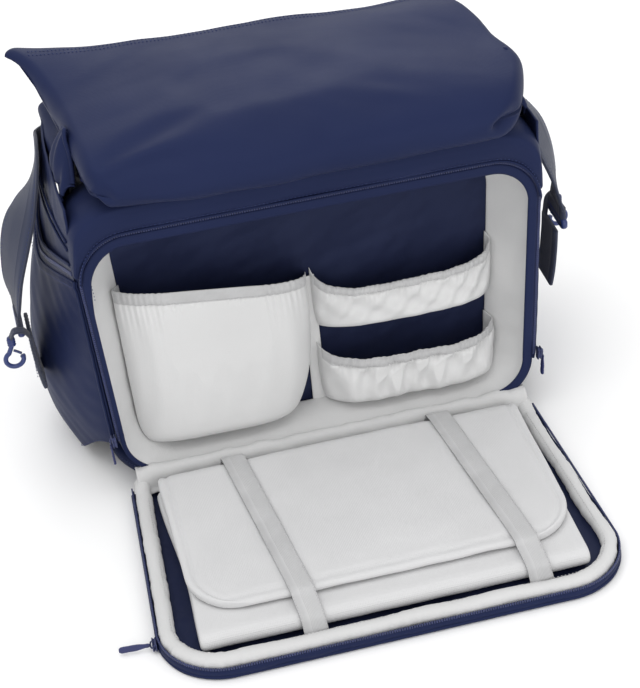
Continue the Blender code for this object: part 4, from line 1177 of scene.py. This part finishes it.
def flap_skirt():
    """The flap's loose front part, folded back: one soft roll, thick at the fold and thin at its hem."""
    loop = [(-0.083, 0.3166), (-0.045, 0.316), (0.0, 0.3162), (0.03, 0.32), (0.05, 0.331), (0.068, 0.341),
        (0.08, 0.343), (0.0865, 0.3448), (0.088, 0.349), (0.082, 0.3525), (0.06, 0.353), (0.03, 0.3515),
        (0.0, 0.349), (-0.04, 0.347), (-0.07, 0.345), (-0.09, 0.341), (-0.1045, 0.3345), (-0.1135, 0.3255),
        (-0.116, 0.3165), (-0.114, 0.3085), (-0.108, 0.304), (-0.1, 0.3042), (-0.093, 0.3085),
        (-0.0885, 0.314)]
    loop = np.array(loop)
    ring = spline(np.vstack([loop, loop[:1]]), 97)[:-1]
    middle_y = np.clip(ring[:, 0], -0.097, 0.076)
    middle_z = np.interp(middle_y, [-0.097, -0.07, 0.0, 0.03, 0.06, 0.076],
        [0.32, 0.33, 0.332, 0.336, 0.3435, 0.347])
    ends = 0.95 + 0.05 * np.sin(np.linspace(0, np.pi / 2, 9))
    s = np.concatenate([-ends[::-1], np.linspace(-0.942, 0.942, 86), ends])[:, None]
    over = np.clip((np.abs(s) - 0.95) / 0.05, 0, 1)
    e = np.sqrt(np.maximum(1 - over**2, 0.0)) * (1 - 0.1 * np.abs(s)**10) * 0.985 + 0.015
    y, z = ring[:, 0][None], ring[:, 1][None]
    left, right = side_at(SKIRT_LEFT, y), side_at(SKIRT_RIGHT, y)
    mid_y, mid_z = middle_y[None], middle_z[None]
    y_all = mid_y + (y - mid_y) * (0.25 + 0.75 * e)
    z_all = mid_z + (z - mid_z) * e
    x = (left + right) / 2 + (right - left) / 2 * s
    top = smooth(z, middle_z[None], middle_z[None] + 0.006)
    front = smooth(-y, 0.085, 0.112)
    z_all = z_all + top * 0.003 * (1 - s**2) * (1 - smooth(y, 0.02, 0.07))
    z_all = z_all + top * 0.0012 * ripple(x, y, 0.17, 101) + top * 0.0005 * ripple(x, y, 0.06, 102)
    y_all = y_all - front * (0.0016 * ripple(x, z, 0.12, 103) + 0.0008 * ripple(x, z, 0.045, 104))
    under = smooth(-z, -0.312, -0.305) * front
    z_all = z_all + under * (0.0016 * ripple(x, y, 0.07, 105))
    tuck = bell(x, 0.15, 0.03) * under
    z_all = z_all + tuck * 0.0016 * np.sin(2 * np.pi * x / 0.011)
    hem = smooth(y, 0.045, 0.084)
    turned = np.clip((-x - 0.095) / 0.12, 0, 1)**1.5 * smooth(y, 0.0, 0.08)
    z_all = z_all + 0.0115 * turned - 0.0045 * hem * smooth(x, 0.0, 0.1)
    y_all = y_all + 0.007 * turned
    z_all = z_all - 0.0018 * hem * bell(x, -0.075, 0.025) + 0.001 * hem * np.sin(x / 0.021)
    rings = xyz(x, y_all, z_all)
    made = loft("flap_front_roll", rings, "nylon", "flap_front", replaced=["flap_skirt"], level=0)

    def sewn(points):
        ends = smooth(points[:, 0], 0.15, 0.185) + smooth(-points[:, 0], 0.165, 0.195)
        return np.clip(smooth(points[:, 1], 0.074, 0.084) + ends, 0, 1)

    puff(made, pressure=3.0, cap=0.005, keep=sewn)
    for name, inset in (("outer", 0.0060), ("inner", 0.0120)):
        flap_edge_stitches(made, name, inset)


def flap_edge_stitches(flap, name, inset):
    """A row of stitches near the flap's hem, laid on its final surface."""
    x = np.linspace(-0.205, 0.158, 260)
    y = np.full(260, 0.0865 - inset)
    path = settle(flap, np.stack([x, y, np.full(260, 0.4)], 1), (0, 0, -1))
    if len(path) > 20:
        stitches("flap_hem_stitches_" + name, path, (0, 0.1, 1), "flap_front", lift=0.0003)


def settle(obj, points, way):
    """Moves points along a direction until they lie on a piece's surface; points that miss are dropped."""
    graph = bpy.context.evaluated_depsgraph_get()
    graph.update()
    solid = obj.evaluated_get(graph)
    into = solid.matrix_world.inverted()
    found = []
    for point in points:
        hit, place, _, _ = solid.ray_cast(into @ Vector(point), (into.to_3x3() @ Vector(way)).normalized())
        if hit:
            found.append(tuple(solid.matrix_world @ place))
    return np.array(found)


def flap_lid():
    pad("flap_lid_pad", (-0.1755, -0.0825, LID_LOW), (0.1755, 0.0985, LID_HIGH), (0.006, 0.006, 0.0034),
        (90, 48, 4), "nylon", "flap_lid", replaced=["flap_top"], uneven=0.0003, seed=111)
    rear = np.stack([np.linspace(-0.16, 0.16, 200), np.full(200, 0.092), np.full(200, LID_HIGH + 0.0003)],
        1)
    stitches("lid_stitches", rear, (0, 0, 1), "flap_lid")


def flap_webs():
    """The fabric that joins the lid to the folded front part, and the lid to the bag's rear."""
    profile = spline([(-0.0805, 0.3088), (-0.085, 0.3078), (-0.09, 0.3082), (-0.0945, 0.31)], 10)
    x = np.linspace(-0.16, 0.16, 160)[None, :]
    z = profile[:, 1:] + 0.0004 * ripple(x, profile[:, :1], 0.03, 115)
    seen = xyz(x, profile[:, :1], z)
    made = skin("flap_fold_web", seen, "nylon", None, 0.0014)
    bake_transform(made)

    profile = spline([(REAR_SEAM_Y + 0.0005, 0.295), (0.103, 0.301), (0.103, 0.308), (0.097, 0.312)], 12)
    x = np.linspace(-0.172, 0.172, 160)[None, :]
    y = profile[:, :1] + 0.0005 * ripple(x, profile[:, 1:], 0.03, 116)
    seen = xyz(x, y, profile[:, 1:])
    made = skin("flap_rear_web", seen, "nylon", None, -0.0014)
    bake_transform(made)


def grab_handle():
    low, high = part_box("grab_handle")
    y = (low.y + high.y) / 2
    arch = [(-0.06, 0.0), (-0.059, 0.01), (-0.056, 0.0185), (-0.048, 0.0245), (-0.025, 0.0262)]
    arch += [(-x, z) for x, z in reversed(arch)]
    path = spline(arch, 160)
    centre = np.stack([path[:, 0], np.full(160, y), low.z + 0.0002 + path[:, 1]], 1)
    ahead = tangents(centre)
    facing = np.cross(ahead, np.array([0, 1.0, 0]))
    facing = unit(facing * np.sign((facing * (centre - (0, y, low.z))).sum(1, keepdims=True) + 1e-12))
    sweep("handle_webbing", centre, band(0.019, 0.0026), "webbing", "handle", normals=facing,
        replaced=["grab_handle"])
    for name, side in (("near", -1), ("far", 1)):
        edge = centre + (0, side * 0.0076, 0) + facing * 0.0014
        stitches("handle_stitches_" + name, edge, facing, "handle")


# ---------------------------------------------------------------- shoulder strap, tabs and hooks
TUCK = {-1: 0.0, 1: 0.019}  # what hangs on the right side lies closer in


def hung(sign, x):
    return sign * (x - TUCK[sign])


def webbing(name, centre, facing, wide, thick, body, replaced=(), look="webbing"):
    sweep(name, centre, band(wide, thick), look, body, normals=facing, replaced=replaced)
    ahead = tangents(centre)
    across = unit(np.cross(facing, ahead))
    out = np.cross(ahead, across)
    for row, side in (("a", -1), ("b", 1)):
        for face, way in (("out", 1), ("in", -1)):
            edge = centre + across * (side * (wide / 2 - 0.003)) + out * (way * thick / 2)
            stitches(f'{name}_stitch_{row}_{face}', edge[2:-2], out[2:-2] * way, body)


def shoulder_strap():
    places = [(0.259, 0.07, 0.176), (0.257, 0.075, 0.206), (0.247, 0.087, 0.24), (0.234, 0.102, 0.264),
        (0.2215, 0.124, 0.278), (0.2145, 0.15, 0.277), (0.2125, 0.185, 0.264), (0.199, 0.217, 0.252),
        (0.164, 0.2255, 0.244)]
    tucks = [1.0, 1.0, 0.9, 0.6, 0.3, 0.0, 0.0, 0.0, 0.0]
    ways = [(1, 0, 0), (0.93, -0.36, 0), (0.8, -0.6, 0), (0.85, -0.5, 0.15), (0.95, -0.2, 0.25)]
    ways += [(1, 0.05, 0.1), (0.9, 0.35, 0), (0.45, 0.9, 0), (0, 1, 0)]
    for sign, name in SIDES.items():
        rows = [(sign * (x - TUCK[sign] * tuck), FRONT_Y + y, z, sign * a, b, c)
            for (x, y, z), tuck, (a, b, c) in zip(places, tucks, ways)]
        fine = spline(rows, 180)
        centre, facing = fine[:, :3], unit(fine[:, 3:])
        webbing("strap_webbing_" + name, centre, facing, 0.038, 0.003, "carry_strap",
            ["shoulder_strap_" + name])
        adjuster(sign, name)
        strap_tab(sign, name)
    shoulder_pad()


def adjuster(sign, name):
    """A ladder-lock: a rounded plastic frame with a cross bar."""
    low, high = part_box("strap_adjuster_" + name)
    x, middle_y, middle_z = (low.x + high.x) / 2, (low.y + high.y) / 2, (low.z + high.z) / 2
    half_y, half_z = (high.y - low.y) / 2 - 0.0022, (high.z - low.z) / 2 - 0.002
    turn = np.linspace(0, 2 * np.pi, 97)[:-1]
    y = np.sign(np.cos(turn)) * np.abs(np.cos(turn))**0.25 * half_y
    z = np.sign(np.sin(turn)) * np.abs(np.sin(turn))**0.45 * half_z
    loop = even(np.stack([np.full(96, x), middle_y + y, middle_z + z], 1), 110, closed=True)
    flat = circle(0.0021, 12) * (1.0, 1.45)
    sweep("adjuster_frame_" + name, loop, flat, "plastic", "carry_strap", normals=(1, 0, 0), closed=True,
        replaced=["strap_adjuster_" + name])
    bar = np.stack([np.full(30, x), np.linspace(middle_y - half_y, middle_y + half_y, 30),
        np.full(30, middle_z)], 1)
    sweep("adjuster_bar_" + name, bar, circle(0.0016, 10), "plastic", "carry_strap", normals=(1, 0, 0))
    strap = np.array([(x, middle_y, middle_z - 0.001), (x, middle_y, middle_z + 0.004),
        (x, middle_y + 0.001, 0.18)])
    centre = spline(strap, 30)
    sweep("adjuster_loop_" + name, centre, band(0.037, 0.005), "webbing", "carry_strap",
        normals=(sign, 0, 0))


def strap_tab(sign, name):
    rows = [(0.247, 0.1), (0.2482, 0.106), (0.25, 0.12), (0.2515, 0.142), (0.252, 0.159)]
    centre = spline([(hung(sign, x), FRONT_Y + 0.07, z) for x, z in rows], 70)
    webbing("tab_webbing_" + name, centre, np.array([float(sign), 0, 0]), 0.038, 0.0034, "bag",
        ["strap_tab_" + name])
    box = np.array([(-1, -1), (1, 1), (1, -1), (-1, 1), (-1, -1)]) * (0.0135, 0.009)
    cross = even(box, 90)
    place = np.stack([np.full(90, hung(sign, 0.2502) + sign * 0.0021), FRONT_Y + 0.07 + cross[:, 0],
        0.12 + cross[:, 1]], 1)
    stitches("tab_box_stitches_" + name, place, (sign, 0, 0), "bag", pitch=0.003)


def shoulder_pad():
    rows = [(-1.0, 0.2255, 0.2435), (-0.5, 0.2275, 0.236), (0.0, 0.228, 0.233), (0.5, 0.2275, 0.236),
        (1.0, 0.2255, 0.2435)]
    path = spline([(0.1625 * x, FRONT_Y + y, z) for x, y, z in rows], 150)
    t = np.linspace(-1, 1, 150)
    taper = 1 - 0.16 * np.abs(t)**10
    sweep("shoulder_cushion", path, band(0.05, 0.0066, 0.42), "nylon", "carry_strap", normals=(0, 1, 0),
        replaced=["shoulder_pad"], scale=np.stack([taper, 1 + 0.06 * np.sin(t * 40)], 1), level=1)
    for row, side in (("low", -1), ("high", 1)):
        for face, way in (("rear", 1), ("front", -1)):
            edge = path[4:-4] + (0, way * 0.0033, side * 0.0205)
            stitches(f'pad_stitches_{row}_{face}', edge, (0, way, 0), "carry_strap")


def stroller_hooks():
    for sign, name in SIDES.items():
        pivot = np.array([hung(sign, 0.269), FRONT_Y + (0.044 if sign < 0 else 0.096), 0.166])
        near = -1 if sign < 0 else 1
        ring = [(hung(sign, 0.2516), FRONT_Y + 0.07 + near * 0.014, 0.156),
            (hung(sign, 0.257), FRONT_Y + 0.07 + near * 0.0215, 0.169),
            (hung(sign, 0.265), FRONT_Y + 0.07 + near * 0.025, 0.1722), tuple(pivot + (0, 0, 0.001))]
        loop_path = spline(ring, 40)
        facing = unit(np.cross(tangents(loop_path), np.array([0.0, 1.0, 0.0])))
        sweep("hook_hanger_" + name, loop_path, band(0.009, 0.002), "webbing", "bag", normals=facing)
        turn = np.radians(np.linspace(120, 380, 60))
        loop = np.stack([-sign * 0.0078 * np.cos(turn), 0 * turn, -0.022 + 0.0078 * np.sin(turn)], 1)
        path = np.vstack([spline([(0, 0, 0.0), (0, 0, -0.006), loop[0]], 14)[:-1], loop]) + pivot
        path = even(path, 110)
        size = np.ones(110)
        size[-8:] = np.linspace(1, 1.18, 8)
        made = sweep("snap_hook_" + name, path, circle(0.0022, 12), "plastic", "hook_" + name,
            normals=(0, 1, 0), replaced=["stroller_hook_" + name], scale=size, level=1)
        collar = np.stack([np.full(20, pivot[0]), np.full(20, pivot[1]), np.linspace(0.1595, 0.1672, 20)],
            1)
        grip = 1 + 0.14 * np.sin(np.linspace(0, 6 * np.pi, 20))
        sweep("hook_collar_" + name, collar, circle(0.0034, 14), "plastic", "hook_" + name,
            normals=(0, 1, 0), scale=grip)
        foot = pivot + (-sign * 0.0067, 0, -0.017)
        gate = spline([foot, foot + (sign * 0.0033, 0, 0.0026), foot + (sign * 0.006, 0, 0.0044)], 20)
        sweep("snap_gate_" + name, gate, circle(0.0012, 10), "metal", "gate_" + name, normals=(0, 1, 0),
            replaced=["hook_gate_" + name])


# ---------------------------------------------------------------- zip sliders and pulls
def seated(place, along, out, points):
    """Points given in a slider's own frame, put in the row frame."""
    x_axis, z_axis = unit(np.asarray(along, float)), unit(np.asarray(out, float))
    y_axis = np.cross(z_axis, x_axis)
    return np.asarray(place) + np.asarray(points, float) @ np.array([x_axis, y_axis, z_axis])


def zip_slider(tag, place, along, out, slider_body, pull_body, pull_long, pull_way, nodes):
    long, wide = 0.0065, 0.00425
    turn = np.linspace(0, 2 * np.pi, 41)[:-1]
    shape_x = np.sign(np.cos(turn)) * np.abs(np.cos(turn))**0.5 * long
    waist = 1 - 0.22 * bell(shape_x, 0, 0.0035) - 0.1 * (shape_x < 0)
    shape_y = np.sign(np.sin(turn)) * np.abs(np.sin(turn))**0.5 * wide * waist
    layers = [(0.86, 0.0), (1.0, 0.0004), (1.0, 0.0013), (0.8, 0.0017), (0.74, 0.0026), (0.95, 0.003)]
    layers += [(0.97, 0.0038), (0.84, 0.0043)]
    rings = [seated(place, along, out, np.stack([shape_x * k, shape_y * k, 0 * turn + z], 1))
        for k, z in layers]
    loft(tag + "_slider", np.array(rings), "metal", slider_body, replaced=[nodes[0]])
    bridge = [(-0.0042, 0, 0.004), (-0.003, 0, 0.0052), (0.0, 0, 0.0056), (0.003, 0, 0.0052),
        (0.0042, 0, 0.004)]
    sweep(tag + "_bridge", seated(place, along, out, spline(bridge, 24)), circle(0.0007, 8), "metal",
        slider_body, normals=out)

    lift = 0.006
    t = np.linspace(0, 1, 60)
    if pull_way:
        line = np.stack([pull_way * (0.001 + (pull_long - 0.001) * t) + pull_way * 0.002, 0 * t,
            lift + 0 * t], 1)
        facing = out
    else:
        line = np.stack([0 * t, 0 * t, lift + pull_long * t], 1)
        facing = along
    path = seated(place, along, out, line)
    width = 0.0034 * (0.62 + 0.38 * smooth(t, 0.12, 0.42))
    width = width * np.sqrt(np.clip(1 - np.clip((t - 0.88) / 0.125, 0, 1)**2, 0.02, 1))
    width = width * np.sqrt(np.clip(1 - np.clip((0.06 - t) / 0.065, 0, 1)**2, 0.1, 1))
    thick = 0.8 + 0.35 * smooth(t, 0.3, 0.6) - 0.3 * bell(t, 0.68, 0.05) * (t > 0.3)
    section = circle(1.0, 20)
    section = np.sign(section) * np.abs(section)**0.6 * (1.0, 0.001)
    sweep(tag + "_pull", path, section, "rubber", pull_body, normals=facing, replaced=[nodes[1]],
        scale=np.stack([width, thick], 1), level=1)


def zip_sliders():
    rise = (HALF_TOP - HALF_LOW) / TALL
    for sign, name in SIDES.items():
        along = unit(lean_vector(sign * rise, 0, 1.0))
        out = unit(lean_vector(sign, 0, -rise))
        place = leaned(sign * (HALF_LOW + rise * 0.046 + 0.0034), -0.003, 0.046)
        nodes = ["front_zip_slider_" + name, "front_zip_pull_" + name]
        zip_slider("front_zip_" + name, place, along, out, "front_slider_" + name, "front_pull_" + name,
            0.022, -1, nodes)
        seat = (-0.2168 if sign < 0 else 0.2091, FRONT_Y + 0.103, 0.2135)
        nodes = ["side_zip_slider_" + name, "side_zip_pull_" + name]
        bodies = ("side_slider_" + name, "side_pull_" + name)
        zip_slider("side_zip_" + name, seat, (0, 0.925, 0.38), (sign, 0, 0), *bodies, 0.02, -1, nodes)
    place = (-0.1828, FRONT_Y + 0.0771, BODY_TOP - 0.001)
    nodes = ["main_zip_slider", "main_zip_pull"]
    zip_slider("main_zip", place, (0, -1, 0), (0, 0, 1), "main_slider", "main_pull", 0.024, 1, nodes)
    slope = (HALF_TOP - HALF_LOW) / 0.2535
    corner = (-HALF_LOW - slope * 0.196 - 0.0008, FRONT_Y - 0.196, 0.0052)
    nodes = ["front_pocket_slider", "front_pocket_pull"]
    bodies = ("pocket_slider", "pocket_pull")
    zip_slider("front_pocket", corner, (-slope, -1, 0), (-1, slope, 0), *bodies, 0.026, 0, nodes)


# ---------------------------------------------------------------- floor, light and camera
def stage():
    floor_mesh = bpy.data.meshes.new("floor")
    floor_mesh.from_pydata([(-6, -6, -0.0004), (6, -6, -0.0004), (6, 6, -0.0004), (-6, 6, -0.0004)], [],
        [(0, 1, 2, 3)])
    floor = bpy.data.objects.new("floor", floor_mesh)
    bpy.context.scene.collection.objects.link(floor)
    white = Look("studio_floor")
    white.feed(white.sockets, {"Base Color": (0.93, 0.93, 0.93, 1), "Roughness": 0.9,
        "Specular IOR Level": 0.1})
    floor_mesh.materials.append(white.made)

    world = bpy.data.worlds.new("studio")
    bpy.context.scene.world = world
    world.use_nodes = True
    world.node_tree.nodes["Background"].inputs["Color"].default_value = (1, 1, 1, 1)
    world.node_tree.nodes["Background"].inputs["Strength"].default_value = WORLD_LIGHT
    for name, (place, size, power) in LAMPS.items():
        data = bpy.data.lights.new(name, "AREA")
        data.shape = "SQUARE"
        data.size = size
        data.energy = power
        lamp = bpy.data.objects.new(name, data)
        lamp.location = place
        lamp.rotation_mode = "QUATERNION"
        lamp.rotation_quaternion = (Vector(LIGHT_AIM) - Vector(place)).to_track_quat("-Z", "Y")
        bpy.context.scene.collection.objects.link(lamp)
    bpy.context.scene.view_settings.view_transform = "Standard"


def camera():
    data = bpy.data.cameras.new("camera")
    data.lens, data.sensor_width, data.sensor_fit = CAMERA_LENS, 36.0, "AUTO"
    made = bpy.data.objects.new("camera", data)
    bpy.context.scene.collection.objects.link(made)
    azimuth, elevation, roll = np.radians(CAMERA_ANGLES).tolist()
    level = math.cos(elevation)
    back = Vector((math.sin(azimuth) * level, -math.cos(azimuth) * level, math.sin(elevation)))
    across = Vector((0, 0, 1)).cross(back).normalized()
    up = back.cross(across)
    right = across * math.cos(roll) + up * math.sin(roll)
    top = up * math.cos(roll) - across * math.sin(roll)
    turn = Matrix((right, top, back)).transposed().to_4x4()
    place = Vector(CAMERA_TARGET) + back * CAMERA_AWAY
    made.matrix_world = Matrix.Translation(place) @ turn
    data.clip_start, data.clip_end = 0.05, 30
    bpy.context.scene.camera = made


# ---------------------------------------------------------------- build
stage()
camera()
front_gusset()
gusset_lining()
divider()
zip_tapes()
front_yoke()
pockets()
hinge_web()
panel()
panel_rim()
changing_mat()
elastic_straps()
for side in SIDES:
    side_panel(side)
    side_pocket(side)
    closure_end(side)
    top_shoulders(side)
base()
rear_panel()
main_lining()
base_board()
mouth_zip()
flap_skirt()
flap_lid()
flap_webs()
grab_handle()
shoulder_strap()
stroller_hooks()
zip_sliders()
